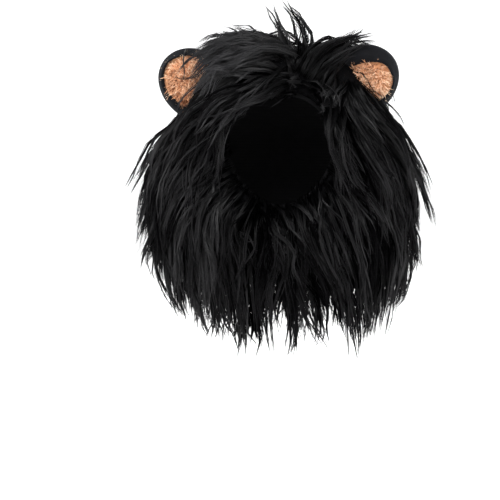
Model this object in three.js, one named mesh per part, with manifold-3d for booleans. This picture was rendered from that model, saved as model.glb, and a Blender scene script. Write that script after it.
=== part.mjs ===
// A pet lion mane wig: a knitted hood with an open face and neck, a deep pile of hanging locks
// fused to a dense base round it, two cupped plush ears, and a hook-and-loop band at the throat.
// Millimetres. +Z is up, the wearer looks along -Y, and the origin is inside the top of the hood,
// where the crown of the head seats.
import * as THREE from "three";
import { mergeVertices } from "three/addons/utils/BufferGeometryUtils.js";
import Module from "manifold-3d";

const wasm = await Module();
wasm.setup();

// The hood's inside, which is the room for the head and neck.
const headHalfWidth = 50;
const headHalfDepth = 50;
const domeHeight = 50;
const neckHalfWidth = 43;
const neckHalfDepth = 44;
const neckSetBack = 5;
const hemHalfWidth = 51;
const hemHalfDepth = 52;
const collarHeight = 76;
const clothWall = 2;

// The face opening, an egg that is narrower at the chin. The pile round it opens wider to the front.
const faceHalfWidth = 38;
const faceRise = 37;
const faceDrop = 41;
const faceCentreDrop = 52;
const faceChinShare = 0.84;
const faceFlare = 0.3;

// The pile: its dense body, and the locks that lie on it and hang past its lower edge. That edge is lifted
// at the sides, and a little more on the +X side. lockFlatter is the share by which locks lift less in the
// middle of the front and back than at the sides.
const pileRise = 27;
const pileDrop = 150;
const pileSideLift = 26;
const pileSway = 7;
const pileHalfWidth = 85;
const pileFront = 64;
const pileBack = 82;
const lockLength = 72;
const lockHalfWidth = 13;
const lockHalfThick = 8;
const lockSink = 4;
const lockFlatter = 0.5;
const partingX = 6;
const seamY = 16;

// The ears.
const earHalfWidth = 25;
const earHeight = 48;
const earHalfDepth = 13;
const earWall = 3.5;
const earCurl = 6;
const earFloor = 4;
const earRoot = 12;
const padSetBack = 2.5;

// The closing at the throat.
const slitWidth = 1.2;
const bandHalfLength = 24;
const bandHeight = 18;
const bandThick = 1.6;

// Clearance between neighbouring pieces, which also keeps faceted surfaces apart.
const pieceGap = 0.35;

// How finely the rounds are divided.
const hoodSides = 24;
const domeRings = 4;
const lockSides = 4;
const lockSteps = 4;
const eggPoints = 24;
const earSegments = 18;
const earBands = 9;

// The hood below its widest line, a row for each section. drop is the share of the collar's height, and
// neck and hem are how far the section has gone from the head's size to those sizes.
const collarRows = [
  { drop: 0.22, neck: 0.1, hem: 0 },
  { drop: 0.45, neck: 0.6, hem: 0 },
  { drop: 0.68, neck: 1, hem: 0 },
  { drop: 0.86, neck: 0.55, hem: 0.45 },
  { drop: 1, neck: 0, hem: 1 },
];

// The dense body of the pile, a row for each section. drop is the share of the way from its top to its
// lower edge, and wide, front and back are shares of its half width and of its reach to the front and back.
const pileRows = [
  { drop: 0.02, wide: 0.34, front: 0.32, back: 0.34 },
  { drop: 0.08, wide: 0.62, front: 0.58, back: 0.6 },
  { drop: 0.17, wide: 0.74, front: 0.74, back: 0.75 },
  { drop: 0.29, wide: 0.84, front: 0.82, back: 0.85 },
  { drop: 0.44, wide: 0.95, front: 0.89, back: 0.94 },
  { drop: 0.61, wide: 1, front: 0.95, back: 1 },
  { drop: 0.81, wide: 0.97, front: 1, back: 0.99 },
  { drop: 1, wide: 0.82, front: 0.92, back: 0.84 },
];

// The tiers of locks, from the crown to the lower edge. drop is the place down the pile. fall, lift and
// comb weigh the ways a lock leaves its root: down along the pile, straight off it, and sideways from the
// parting. droop is how far it turns down by its tip. length and width are shares of the lock's sizes,
// and turn shifts the tier by a share of a lock.
const lockTiers = [
  { drop: 0.14, count: 8, fall: 0.7, lift: 0.34, comb: 0.3, droop: 0.45, length: 0.8, width: 1, turn: 0.5 },
  { drop: 0.25, count: 10, fall: 0.8, lift: 0.34, comb: 0.1, droop: 0.55, length: 0.9, width: 1.1, turn: 0 },
  { drop: 0.38, count: 12, fall: 0.85, lift: 0.32, comb: 0, droop: 0.65, length: 0.95, width: 1.15, turn: 0.5 },
  { drop: 0.52, count: 13, fall: 0.9, lift: 0.28, comb: 0, droop: 0.75, length: 1, width: 1.2, turn: 0 },
  { drop: 0.67, count: 13, fall: 0.95, lift: 0.26, comb: 0, droop: 0.85, length: 1, width: 1.2, turn: 0.5 },
  { drop: 0.81, count: 14, fall: 0.95, lift: 0.2, comb: 0, droop: 0.85, length: 0.9, width: 1.15, turn: 0 },
  { drop: 0.94, count: 15, fall: 0.95, lift: 0.05, comb: 0, droop: 0.85, length: 0.72, width: 1.1, turn: 0.5 },
];

// The locks round the face. angle is measured in degrees from the viewer's right round by the brow, and
// forward is how far a lock leans out to the front, or back over the crown where it is below zero.
const faceRing = [
  { angle: 8, forward: 0.2, droop: 0.75, length: 0.8, width: 0.95 },
  { angle: 34, forward: 0.05, droop: 0.7, length: 0.72, width: 0.95 },
  { angle: 62, forward: -0.3, droop: 0.4, length: 0.5, width: 0.85 },
  { angle: 92, forward: -0.45, droop: 0.1, length: 0.38, width: 0.85 },
  { angle: 120, forward: -0.3, droop: 0.4, length: 0.52, width: 0.85 },
  { angle: 147, forward: 0.05, droop: 0.7, length: 0.74, width: 0.95 },
  { angle: 172, forward: 0.2, droop: 0.75, length: 0.85, width: 0.95 },
  { angle: 196, forward: 0.26, droop: 0.8, length: 0.85, width: 0.95 },
  { angle: 219, forward: 0.22, droop: 0.85, length: 0.88, width: 0.95 },
  { angle: 241, forward: 0.2, droop: 0.9, length: 0.9, width: 0.9 },
  { angle: 260, forward: 0.18, droop: 0.9, length: 0.88, width: 0.75 },
  { angle: 280, forward: 0.18, droop: 0.9, length: 0.88, width: 0.75 },
  { angle: 299, forward: 0.2, droop: 0.9, length: 0.86, width: 0.9 },
  { angle: 321, forward: 0.22, droop: 0.85, length: 0.84, width: 0.95 },
  { angle: 345, forward: 0.26, droop: 0.8, length: 0.82, width: 0.95 },
];

// The locks combed from the parting over the crown, and the two thin tufts that stand on it. round is
// measured in degrees from the front towards +X and drop down the pile, toX, toY and toZ are the way the
// lock leaves its root, and the rest are as above.
const crownLocks = [
  { round: 27, drop: 0.013, toX: -0.95, toY: -0.2, toZ: 0.16, droop: 0.4, length: 0.95, width: 0.95 },
  { round: 141, drop: 0.005, toX: -0.9, toY: 0.2, toZ: 0.16, droop: 0.4, length: 0.92, width: 0.95 },
  { round: -7, drop: 0.065, toX: -0.9, toY: -0.4, toZ: 0.08, droop: 0.5, length: 0.85, width: 0.8 },
  { round: 50, drop: 0.011, toX: 0.9, toY: -0.2, toZ: 0.22, droop: 0.12, length: 0.78, width: 0.7 },
  { round: 117, drop: 0.011, toX: 0.85, toY: 0.3, toZ: 0.14, droop: 0.36, length: 0.85, width: 0.9 },
  { round: 36, drop: 0.065, toX: 0.9, toY: -0.4, toZ: 0.06, droop: 0.5, length: 0.8, width: 0.75 },
  { round: 6, drop: 0.09, toX: -0.5, toY: -0.6, toZ: -0.15, droop: 0.65, length: 0.6, width: 0.7 },
  { round: 170, drop: 0.018, toX: -0.1, toY: 0.8, toZ: 0.1, droop: 0.66, length: 0.85, width: 1.15 },
  { round: 130, drop: 0.06, toX: 0.5, toY: 0.7, toZ: 0.02, droop: 0.72, length: 0.8, width: 1.15 },
  { round: 228, drop: 0.06, toX: -0.5, toY: 0.7, toZ: 0.02, droop: 0.72, length: 0.8, width: 1.15 },
  { round: -37, drop: 0.004, toX: -0.38, toY: -0.05, toZ: 1, droop: 0.02, length: 0.34, width: 0.3 },
  { round: 77, drop: 0.006, toX: -0.12, toY: 0.05, toZ: 1, droop: 0.02, length: 0.32, width: 0.26 },
];

// Each ear: side is -1 on the wearer's right, which is on the left from the front. rise is the angle of its
// root above the widest line, tilt leans it back, and turn faces it outwards, all in degrees.
const ears = [
  { name: "ear_left", side: -1, rise: 35, tilt: 4, turn: 16 },
  { name: "ear_right", side: 1, rise: 38, tilt: -14, turn: 10 },
];

const earCentre = new THREE.Vector3(0, 0, -domeHeight);
const faceCentreZ = -faceCentreDrop;
const hemZ = -domeHeight - collarHeight;
const down = new THREE.Vector3(0, 0, -1);
const seatPole = 0;
const farAway = 400;

// A closed manifold solid from any closed geometry.
function solid(geometry) {
  const bare = geometry.index ? geometry.toNonIndexed() : geometry.clone();
  bare.deleteAttribute("normal");
  bare.deleteAttribute("uv");
  const merged = mergeVertices(bare, 1e-4);
  const triVerts = new Uint32Array(merged.index.array);
  const build = () =>
    new wasm.Manifold(
      new wasm.Mesh({ numProp: 3, vertProperties: merged.attributes.position.array, triVerts }),
    );
  const made = build();
  if (made.volume() > 0) return made;
  for (let i = 0; i < triVerts.length; i += 3) {
    [triVerts[i + 1], triVerts[i + 2]] = [triVerts[i + 2], triVerts[i + 1]];
  }
  return build();
}

// A closed skin through rings of equally many points, with a fan to a point at each end.
function loft(rings, first, last) {
  const sides = rings[0].length;
  const points = [first, ...rings.flat(), last];
  const index = [];
  for (let j = 0; j < sides; j++) {
    const k = (j + 1) % sides;
    index.push(0, 1 + k, 1 + j);
    for (let i = 0; i + 1 < rings.length; i++) {
      const a = 1 + i * sides;
      const b = a + sides;
      index.push(a + j, a + k, b + j, a + k, b + k, b + j);
    }
    const end = 1 + (rings.length - 1) * sides;
    index.push(end + j, end + k, points.length - 1);
  }
  const geometry = new THREE.BufferGeometry().setFromPoints(points);
  geometry.setIndex(index);
  return solid(geometry);
}

// The hood's section at a place from 0 at the top to 1 at the hem, grown by a distance.
function hoodSection(at, grow) {
  if (at <= 0.5) {
    const angle = at * Math.PI;
    return {
      halfWidth: (headHalfWidth + grow) * Math.sin(angle),
      halfDepth: (headHalfDepth + grow) * Math.sin(angle),
      centreY: 0,
      z: -domeHeight + (domeHeight + grow) * Math.cos(angle),
    };
  }
  const drop = at * 2 - 1;
  const rows = [{ drop: 0, neck: 0, hem: 0 }, ...collarRows];
  const next = Math.max(1, rows.findIndex((row) => row.drop >= drop - 1e-9));
  const share = (drop - rows[next - 1].drop) / (rows[next].drop - rows[next - 1].drop);
  const neck = THREE.MathUtils.lerp(rows[next - 1].neck, rows[next].neck, share);
  const hem = THREE.MathUtils.lerp(rows[next - 1].hem, rows[next].hem, share);
  const head = 1 - neck - hem;
  return {
    halfWidth: head * headHalfWidth + neck * neckHalfWidth + hem * hemHalfWidth + grow,
    halfDepth: head * headHalfDepth + neck * neckHalfDepth + hem * hemHalfDepth + grow,
    centreY: (neck + hem) * neckSetBack,
    z: -domeHeight - drop * collarHeight,
  };
}

// A point on the hood. round is the angle about the vertical, 0 at the front and a quarter turn at +X.
function hoodPoint(round, at, grow) {
  const section = hoodSection(at, grow);
  return new THREE.Vector3(
    Math.sin(round) * section.halfWidth,
    -Math.cos(round) * section.halfDepth + section.centreY,
    section.z,
  );
}

// The whole outside of the hood grown by a distance, closed at the top and cut flat at endZ or the hem.
function hoodBody(grow, endZ = hemZ) {
  const places = [];
  for (let i = 1; i <= domeRings; i++) places.push(i / domeRings / 2);
  for (const row of collarRows) places.push((1 + row.drop) / 2);
  const rings = places.map((at) => ringAt(at, grow));
  if (endZ < hemZ) rings.push(ringAt(1, grow).map((p) => p.setZ(endZ)));
  const lowest = rings[rings.length - 1][0].z;
  return loft(rings, new THREE.Vector3(0, 0, seatPole + grow), new THREE.Vector3(0, neckSetBack, lowest));
}

function ringAt(at, grow) {
  return Array.from({ length: hoodSides }, (_, j) => hoodPoint((j / hoodSides) * 2 * Math.PI, at, grow));
}

// The outline of the face opening at a depth, scaled up from its own size.
function faceEgg(y, scale) {
  return Array.from({ length: eggPoints }, (_, i) => {
    const angle = (i / eggPoints) * 2 * Math.PI;
    return facePoint(angle, y, scale);
  });
}

// A point of that outline. angle is a quarter turn at the brow and three quarters at the chin.
function facePoint(angle, y, scale) {
  const up = Math.sin(angle);
  const narrow = up < 0 ? 1 + (1 - faceChinShare) * up : 1;
  const reach = up < 0 ? faceDrop : faceRise;
  return new THREE.Vector3(Math.cos(angle) * faceHalfWidth * narrow * scale, y, faceCentreZ + up * reach * scale);
}

// The face opening carried from the middle of the hood to well in front of it, wider there by flare.
function faceTunnel(flare) {
  const mouthY = -pileFront * 2;
  const narrowY = -headHalfDepth * 0.6;
  const rings = [faceEgg(0, 1), faceEgg(narrowY, 1), faceEgg(mouthY, 1 + flare)];
  return loft(rings, new THREE.Vector3(0, 0, faceCentreZ), new THREE.Vector3(0, mouthY, faceCentreZ));
}

function block(halfX, fromY, toY, fromZ, toZ) {
  const box = new THREE.BoxGeometry(halfX * 2, toY - fromY, toZ - fromZ);
  return solid(box.translate(0, (fromY + toY) / 2, (fromZ + toZ) / 2));
}

function throatSlit() {
  return block(slitWidth / 2, -farAway, 0, -farAway, faceCentreZ);
}

function hood() {
  return hoodBody(clothWall)
    .subtract(hoodBody(0, hemZ - clothWall))
    .subtract(faceTunnel(0))
    .subtract(throatSlit());
}

// The closing band lies inside the throat, across the slit.
function throatBand() {
  const bottom = hemZ + (collarHeight + faceCentreZ - faceDrop + domeHeight) / 2 - bandHeight / 2;
  const outer = hoodBody(-pieceGap, hemZ - clothWall);
  const inner = hoodBody(-pieceGap - bandThick, hemZ - clothWall * 2);
  return outer.subtract(inner).intersect(block(bandHalfLength, -farAway, 0, bottom, bottom + bandHeight));
}

// A number from 0 to 1 that looks random and is the same each time for the same seed.
function scatter(seed) {
  const wave = Math.sin(seed * 127.1 + 311.7) * 43758.5453;
  return wave - Math.floor(wave);
}

// One lock: it leaves its root along way, turns down by droop towards its tip, and tapers to a point.
function lock(root, way, droop, length, halfWidth, halfThick) {
  const across = way.clone().cross(down);
  if (across.length() < 0.1) across.set(1, 0, 0);
  across.normalize();
  const here = root.clone();
  const rings = [];
  for (let i = 0; i < lockSteps; i++) {
    const share = i / lockSteps;
    const turned = droop * Math.pow(share + 0.5 / lockSteps, 0.8);
    const heading = way.clone().multiplyScalar(1 - turned).addScaledVector(down, turned).normalize();
    const out = across.clone().cross(heading).normalize();
    const wide = halfWidth * (0.72 + 0.9 * share) * (1 - Math.pow(share, 2.4));
    const thick = halfThick * (1 - Math.pow(share, 1.6));
    rings.push(
      Array.from({ length: lockSides }, (_, j) => {
        const angle = (j / lockSides) * 2 * Math.PI;
        return here
          .clone()
          .addScaledVector(across, Math.cos(angle) * wide)
          .addScaledVector(out, Math.sin(angle) * thick);
      }),
    );
    here.addScaledVector(heading, length / lockSteps);
  }
  return loft(rings, root, here);
}

// The section of the pile's body at a share of the way down it.
function pileSection(drop) {
  const rows = [{ drop: 0, wide: 0, front: 0, back: 0 }, ...pileRows];
  const next = Math.max(1, rows.findIndex((row) => row.drop >= drop - 1e-9));
  const share = (drop - rows[next - 1].drop) / (rows[next].drop - rows[next - 1].drop);
  const between = (column) => THREE.MathUtils.lerp(rows[next - 1][column], rows[next][column], share);
  return {
    halfWidth: between("wide") * pileHalfWidth,
    front: between("front") * pileFront,
    back: between("back") * pileBack,
  };
}

// A point on the pile's body, with round as on the hood.
function pilePoint(round, drop) {
  const section = pileSection(drop);
  const reach = Math.cos(round) > 0 ? section.front : section.back;
  const aside = Math.sin(round);
  const edge = pileDrop - pileSideLift * aside * aside - pileSway * aside;
  const z = pileRise - drop * (pileRise + edge);
  return new THREE.Vector3(aside * section.halfWidth, -Math.cos(round) * reach, z);
}

// The ways down along the pile and straight off it at a place.
function pileWays(round, drop) {
  const step = 0.02;
  const here = Math.min(Math.max(drop, step), 1 - step);
  const across = pilePoint(round + step, here).sub(pilePoint(round - step, here)).normalize();
  const fall = pilePoint(round, here + step).sub(pilePoint(round, here - step)).normalize();
  return { across, fall, off: fall.clone().cross(across).normalize() };
}

// The dense body of the pile, before anything is cut from it.
function pileBody() {
  const rings = pileRows.map((row) =>
    Array.from({ length: hoodSides }, (_, j) => pilePoint((j / hoodSides) * 2 * Math.PI, row.drop)),
  );
  return loft(rings, new THREE.Vector3(0, 0, pileRise), new THREE.Vector3(0, 0, -pileDrop));
}

// True inside the flared face opening, seen from the front.
function inFace(point, margin) {
  const up = point.z - faceCentreZ;
  const scale = 1 + faceFlare / 2;
  const reach = (up > 0 ? faceRise : faceDrop) * scale + margin;
  return point.y < 0 && Math.hypot(point.x / (faceHalfWidth * scale + margin), up / reach) < 1;
}

function nearEar(point) {
  return ears.some((ear) => {
    const middle = earPlace(ear).lerp(earCentre, -earHeight / 2 / headHalfWidth);
    return Math.hypot(point.x - middle.x, point.z - middle.z) < earHalfWidth && Math.abs(point.y) < pileFront / 2;
  });
}

// The tiers of locks all round the pile.
function tierLocks() {
  const made = [];
  lockTiers.forEach((tier, t) => {
    for (let i = 0; i < tier.count; i++) {
      const seed = t * 31 + i;
      const round = ((i + tier.turn) / tier.count) * 2 * Math.PI;
      const surface = pilePoint(round, tier.drop);
      if (inFace(surface, lockHalfWidth * 1.2) || nearEar(surface)) continue;
      const { fall, off } = pileWays(round, tier.drop);
      const side = Math.sign(surface.x - partingX);
      const lift = tier.lift * (1 - lockFlatter * Math.cos(round) ** 2);
      const way = fall
        .multiplyScalar(tier.fall)
        .addScaledVector(off, lift + (scatter(seed) - 0.5) * 0.16)
        .add(new THREE.Vector3(side * tier.comb, 0, 0))
        .normalize();
      const root = surface.addScaledVector(off, -lockSink);
      const length = lockLength * tier.length * (0.88 + 0.24 * scatter(seed + 0.5));
      made.push(lock(root, way, tier.droop, length, lockHalfWidth * tier.width, lockHalfThick * tier.width));
    }
  });
  return made;
}

// The ring of locks round the face, each a row of the table.
function faceLocks() {
  return faceRing.map((row) => {
    const angle = THREE.MathUtils.degToRad(row.angle);
    const edge = facePoint(angle, 0, 1 + faceFlare * 0.75);
    const section = pileSection((pileRise - edge.z) / (pileRise + pileDrop));
    const aside = Math.min(1, Math.abs(edge.x) / section.halfWidth);
    edge.y = -section.front * Math.sqrt(1 - aside * aside) + lockSink;
    const way = new THREE.Vector3(Math.cos(angle), -row.forward, Math.sin(angle)).normalize();
    return lock(edge, way, row.droop, lockLength * row.length, lockHalfWidth * row.width, lockHalfThick * row.width);
  });
}

function combedLocks() {
  return crownLocks.map((row) => {
    const root = pilePoint(THREE.MathUtils.degToRad(row.round), row.drop).addScaledVector(down, lockSink);
    const way = new THREE.Vector3(row.toX, row.toY, row.toZ).normalize();
    return lock(root, way, row.droop, lockLength * row.length, lockHalfWidth * row.width, lockHalfThick * row.width);
  });
}

// Where an ear's root meets the outside of the hood.
function earPlace(ear) {
  const rise = THREE.MathUtils.degToRad(ear.rise);
  return new THREE.Vector3(
    ear.side * Math.cos(rise) * (headHalfWidth + clothWall),
    0,
    earCentre.z + Math.sin(rise) * (domeHeight + clothWall),
  );
}

// Places a shape modelled with the ear's height along +Z and its open side towards -Y.
function placeEar(geometry, ear) {
  const rise = THREE.MathUtils.degToRad(ear.rise);
  const turned = geometry
    .rotateZ(THREE.MathUtils.degToRad(ear.side * ear.turn))
    .rotateX(THREE.MathUtils.degToRad(-ear.tilt))
    .rotateY(ear.side * (Math.PI / 2 - rise));
  return turned.translate(...earPlace(ear).toArray());
}

// An egg-round blank for the ear: shrink takes it in all round, floor lifts its lower end.
function earBlank(shrink, floor) {
  const top = earHeight - shrink;
  const bottom = floor - (floor ? 0 : earRoot);
  const halfHeight = (top - bottom) / 2;
  const ball = new THREE.SphereGeometry(1, earSegments, earBands);
  return ball
    .scale(earHalfWidth - shrink, earHalfDepth - shrink, halfHeight)
    .translate(0, 0, (top + bottom) / 2);
}

function earFront(fromY) {
  const box = new THREE.BoxGeometry(farAway, farAway, farAway);
  return box.translate(0, fromY - farAway / 2, 0);
}

function earShell(ear) {
  return solid(placeEar(earBlank(0, 0), ear))
    .subtract(solid(placeEar(earBlank(earWall, earFloor), ear)))
    .subtract(solid(placeEar(earFront(-earCurl), ear)))
    .subtract(hoodBody(clothWall + pieceGap));
}

function earPad(ear) {
  return solid(placeEar(earBlank(earWall + pieceGap, earFloor + pieceGap), ear))
    .subtract(solid(placeEar(earFront(-earCurl + padSetBack), ear)));
}

// The pile round the hood, with room for the face, the ears and the slit.
function pile() {
  const whole = wasm.Manifold.union([pileBody(), ...tierLocks(), ...faceLocks(), ...combedLocks()])
    .subtract(hoodBody(clothWall + pieceGap, hemZ - farAway))
    .subtract(faceTunnel(faceFlare))
    .subtract(throatSlit());
  return ears.reduce(
    (fur, ear) => fur.subtract(solid(placeEar(earBlank(-pieceGap, 0), ear))),
    whole,
  );
}

// The largest body, without the specks that a seam's cut can leave.
function mainBody(shape) {
  return shape.decompose().reduce((best, body) => (body.volume() > best.volume() ? body : best));
}

function seamCut(shape, front) {
  const edge = seamY + (front ? -1 : 1) * (pieceGap / 2);
  const kept = front ? block(farAway, -farAway, edge, -farAway, farAway) : block(farAway, edge, farAway, -farAway, farAway);
  return mainBody(shape.intersect(kept));
}

function mesh(name, shape, colour, roughness) {
  const data = shape.getMesh();
  const geometry = new THREE.BufferGeometry();
  geometry.setAttribute("position", new THREE.BufferAttribute(new Float32Array(data.vertProperties), 3));
  geometry.setIndex(new THREE.BufferAttribute(new Uint32Array(data.triVerts), 1));
  const material = new THREE.MeshStandardMaterial({ color: colour, roughness, metalness: 0 });
  const made = new THREE.Mesh(geometry, material);
  made.name = name;
  return made;
}

const group = new THREE.Group();
const fur = pile();
group.add(mesh("hood", hood(), 0x1c1c1f, 0.95));
group.add(mesh("ruff_fur", seamCut(fur, true), 0x121214, 0.55));
group.add(mesh("nape_fur", seamCut(fur, false), 0x121214, 0.55));
for (const ear of ears) {
  group.add(mesh(ear.name, earShell(ear), 0x17181d, 0.9));
  group.add(mesh(ear.name + "_plush", earPad(ear), 0xd79a70, 0.95));
}
group.add(mesh("throat_band", throatBand(), 0x151516, 0.9));

export default group;
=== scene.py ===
"""A pet lion mane wig: knitted hood, deep black pile in long locks, two plush-lined ears, throat closing."""

import math

import bmesh
import bpy
import numpy as np
from mathutils import Matrix, Vector
from mathutils.bvhtree import BVHTree
from mathutils.kdtree import KDTree


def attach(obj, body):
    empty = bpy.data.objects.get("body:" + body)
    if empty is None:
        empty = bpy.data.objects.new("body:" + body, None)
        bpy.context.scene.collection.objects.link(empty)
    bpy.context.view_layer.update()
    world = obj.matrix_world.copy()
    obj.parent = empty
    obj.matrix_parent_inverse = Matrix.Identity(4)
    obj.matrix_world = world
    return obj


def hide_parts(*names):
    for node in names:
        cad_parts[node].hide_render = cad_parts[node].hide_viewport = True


bl_info = {
    "name": "Lion Mane Wig",
    "version": (1, 0, 0),
    "blender": (4, 5, 0),
    "location": "View3D > Sidebar > Mane",
    "description": "Builds a pet lion mane wig: hood, long pile, plush-lined ears and throat closing",
    "category": "Object",
}

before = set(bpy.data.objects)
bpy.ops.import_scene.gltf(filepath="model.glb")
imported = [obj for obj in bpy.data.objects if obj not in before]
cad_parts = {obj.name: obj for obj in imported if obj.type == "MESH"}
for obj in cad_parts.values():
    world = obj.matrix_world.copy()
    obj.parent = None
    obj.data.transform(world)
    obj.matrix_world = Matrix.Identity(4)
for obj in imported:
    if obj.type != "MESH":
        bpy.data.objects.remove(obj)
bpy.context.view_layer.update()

MM = 0.001

# The hood's inside and wall, in millimetres.
HEAD_HALF_WIDTH = 50.0
HEAD_HALF_DEPTH = 50.0
DOME_HEIGHT = 50.0
NECK_HALF_WIDTH = 43.0
NECK_HALF_DEPTH = 44.0
NECK_SET_BACK = 5.0
HEM_HALF_WIDTH = 51.0
HEM_HALF_DEPTH = 52.0
COLLAR_HEIGHT = 76.0
HEM_Z = -DOME_HEIGHT - COLLAR_HEIGHT
# The collar's rows: drop, neck share, hem share.
COLLAR_ROWS = np.array(
    [
        (0.0, 0.0, 0.0),
        (0.22, 0.1, 0.0),
        (0.45, 0.6, 0.0),
        (0.68, 1.0, 0.0),
        (0.86, 0.55, 0.45),
        (1.0, 0.0, 1.0),
    ]
)

# The face opening.
FACE_HALF_WIDTH = 38.0
FACE_RISE = 37.0
FACE_DROP = 41.0
FACE_Z = -52.0
FACE_CHIN_SHARE = 0.84
FACE_FLARE = 0.3

# The binding on the edges of the hood, and the closing inside its throat.
BINDING_RADIUS = 1.7
CLOSING_TOP = -100.5
CLOSING_BOTTOM = -118.5
CLOSING_HALF_WIDTH = 24.0
CLOSING_THICKNESS = 1.6
CLOSING_CORNER = 3
CLOSING_INSET = 0.35

# The body of the pile: drop down it, and shares of its half width, front and back.
PILE_TOP = 27.0
PILE_BOTTOM = 150.0
PILE_SIDE_LIFT = 26.0
PILE_SWAY = 7.0
PILE_HALF_WIDTH = 85.0
PILE_FRONT = 64.0
PILE_BACK = 82.0
PILE_ROWS = np.array(
    [
        (0.0, 0.0, 0.0, 0.0),
        (0.02, 0.34, 0.32, 0.34),
        (0.08, 0.62, 0.58, 0.6),
        (0.17, 0.74, 0.74, 0.75),
        (0.29, 0.84, 0.82, 0.85),
        (0.44, 0.95, 0.89, 0.94),
        (0.61, 1.0, 0.95, 1.0),
        (0.81, 0.97, 1.0, 0.99),
        (1.0, 0.82, 0.92, 0.84),
    ]
)
PARTING_X = 6.0

# The ears: their sizes, how far from the dome's middle they stand, and the angles of the rings at the back.
EAR_HALF_WIDTH = 25.0
EAR_HALF_DEPTH = 13.0
EAR_TOP = 48.0
EAR_ROOT = 12.0
EAR_MIDDLE = (EAR_TOP - EAR_ROOT) / 2
EAR_HALF_HEIGHT = (EAR_TOP + EAR_ROOT) / 2
EAR_REACH = 52
EAR_BACK_TURNS = [12, 26, 42, 58, 74, 88, 100, 110]
# How each ear is placed on the hood, and the window through which its plush is kept in sight, as half its
# width, half its height and the height of its middle.
EARS = {
    "ear_left": {"side": -1, "rise": 35, "tilt": 4, "turn": 16, "window": (23, 21, 27)},
    "ear_right": {"side": 1, "rise": 38, "tilt": -14, "turn": 10, "window": (27, 27, 21)},
}
# How wide the black rim shows round each ear, as (angle, millimetres), 90 at the tip of the ear.
EAR_RIMS = {
    "ear_left": (
        (0, 5), (35, 5), (80, 4.6), (125, 5.6), (170, 8.5), (215, 12), (260, 10), (305, 7), (360, 5),
    ),
    "ear_right": (
        (0, 6), (52, 4.4), (97, 8.6), (142, 12.5), (185, 11), (232, 9), (280, 9), (322, 8.6), (360, 6),
    ),
}

# The plush pads in the ears, and the half width and half height of the field that their fibres cover.
PAD_HALF_WIDTH = EAR_HALF_WIDTH - 4.2
PAD_HALF_HEIGHT = 20.0
PAD_MIDDLE = 24
FIBRE_FIELD = (20.4, 19.6)

# Which way the pile is combed, seen from the front: x and z of a place in millimetres, then the way.
COMBED = np.array(
    [
        (-2.1, 24.1, -1, -0.1), (-16.1, 15.4, -0.95, -0.12), (-35.3, 15.4, -0.9, -0.35),
        (-47.6, 1.4, -0.7, -0.7), (-16.1, 4.9, -0.95, -0.15), (-30.1, -14.3, -0.8, -0.55),
        (-5.6, -12.6, -0.9, -0.4), (8.4, -7.3, -0.75, -0.35), (18.9, -3.8, 0.1, -0.6),
        (31.1, 15.4, 0.8, 0.55), (48.6, 25.9, 0.95, 0.15), (29.4, -2.1, 0.65, 0.5),
        (43.4, -19.6, -0.35, -0.93), (52.1, -26.6, 0.05, -1), (60.9, -33.6, 0.6, -0.8),
        (74.9, -35.3, 0.75, -0.65), (60.9, -54.6, 0.6, -0.8), (78.4, -54.6, 0.65, -0.75),
        (92.4, -54.6, 0.65, -0.76), (99.4, -72.1, 0.5, -0.86), (52.1, -72.1, 0.6, -0.8),
        (43.4, -89.6, 0.5, -0.86), (78.4, -89.6, 0.35, -0.93), (95.9, -98.3, 0.2, -0.98),
        (69.6, -124.6, 0.3, -0.95), (92.4, -133.3, 0.05, -1), (85.4, -159.6, 0.1, -1),
        (43.4, -107.1, 0.35, -0.93), (34.6, -124.6, 0.45, -0.9), (22.4, -124.6, 0.42, -0.9),
        (-5.6, -107.1, 0.3, -0.95), (-9.1, -124.6, 0.1, -1), (-2.1, -159.6, 0.12, -1),
        (18.9, -177.1, 0.15, -1), (34.6, -177.1, 0.15, -1), (-26.6, -124.6, 0.05, -1),
        (-37.1, -82.6, -0.8, -0.6), (-52.8, -72.1, -0.72, -0.65), (-49.3, -98.3, -0.1, -1),
        (-65.1, -61.6, -0.6, -0.8), (-79.1, -54.6, -0.68, -0.74), (-87.8, -61.6, -0.6, -0.8),
        (-73.8, -89.6, -0.3, -0.95), (-91.3, -94.8, -0.38, -0.93), (-84.3, -115.8, -0.12, -1),
        (-79.1, -142.1, 0.05, -1), (-77.3, -159.6, 0.1, -1), (-61.6, -159.6, 0.12, -1),
        (-44.1, -150.8, 0.08, -1), (-40.6, -47.6, -0.78, -0.62), (-56.3, -40.6, -0.7, -0.7),
        (-35.3, -61.6, -0.82, -0.58), (-72.1, -40.6, -0.55, -0.83), (-30.1, -28.3, -0.8, -0.6),
        (-19.6, -23.1, -0.85, -0.5),
    ]
)

# The camera: what it looks at, how far off it stands, how high, and half the picture's width at the aim.
AIM = np.array([-21.0, 0.0, -124.6])
CAMERA_AWAY = 1600.0
CAMERA_RISE = math.radians(3.5)
HALF_VIEW = 175.0
# Half the picture's width and height, in pixels.
HALF_PICTURE = 250

# The pieces of the long pile, and the solids that each stands for.
PILE_PIECES = (
    ("crown_hair", ("ruff_fur", "nape_fur")),
    ("left_hair", ("ruff_fur",)),
    ("right_hair", ("ruff_fur",)),
    ("bib_hair", ("ruff_fur",)),
    ("nape_left_hair", ("nape_fur",)),
    ("nape_right_hair", ("nape_fur",)),
)
CROWN, LEFT, RIGHT, BIB, NAPE_LEFT, NAPE_RIGHT = range(len(PILE_PIECES))
# How many points the centre line of a lock has.
GUIDE_STEPS = 10
# How far the rows of locks reach down the pile, and the heights where the lowest locks stop.
PILE_FALL = 178.0
FOOT_LOWEST = -201
FOOT_HIGHEST = -189
# A strand's width from root to tip, and what the deep strands at the foot of the front add to it.
STRAND_TAPER = np.array([0.9, 1.0, 1.0, 0.92, 0.78, 0.5, 0.1])
FOOT_SWELL = np.array([0, 0.1, 0.5, 0.8, 0.9, 0.8, 0.2])

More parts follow.
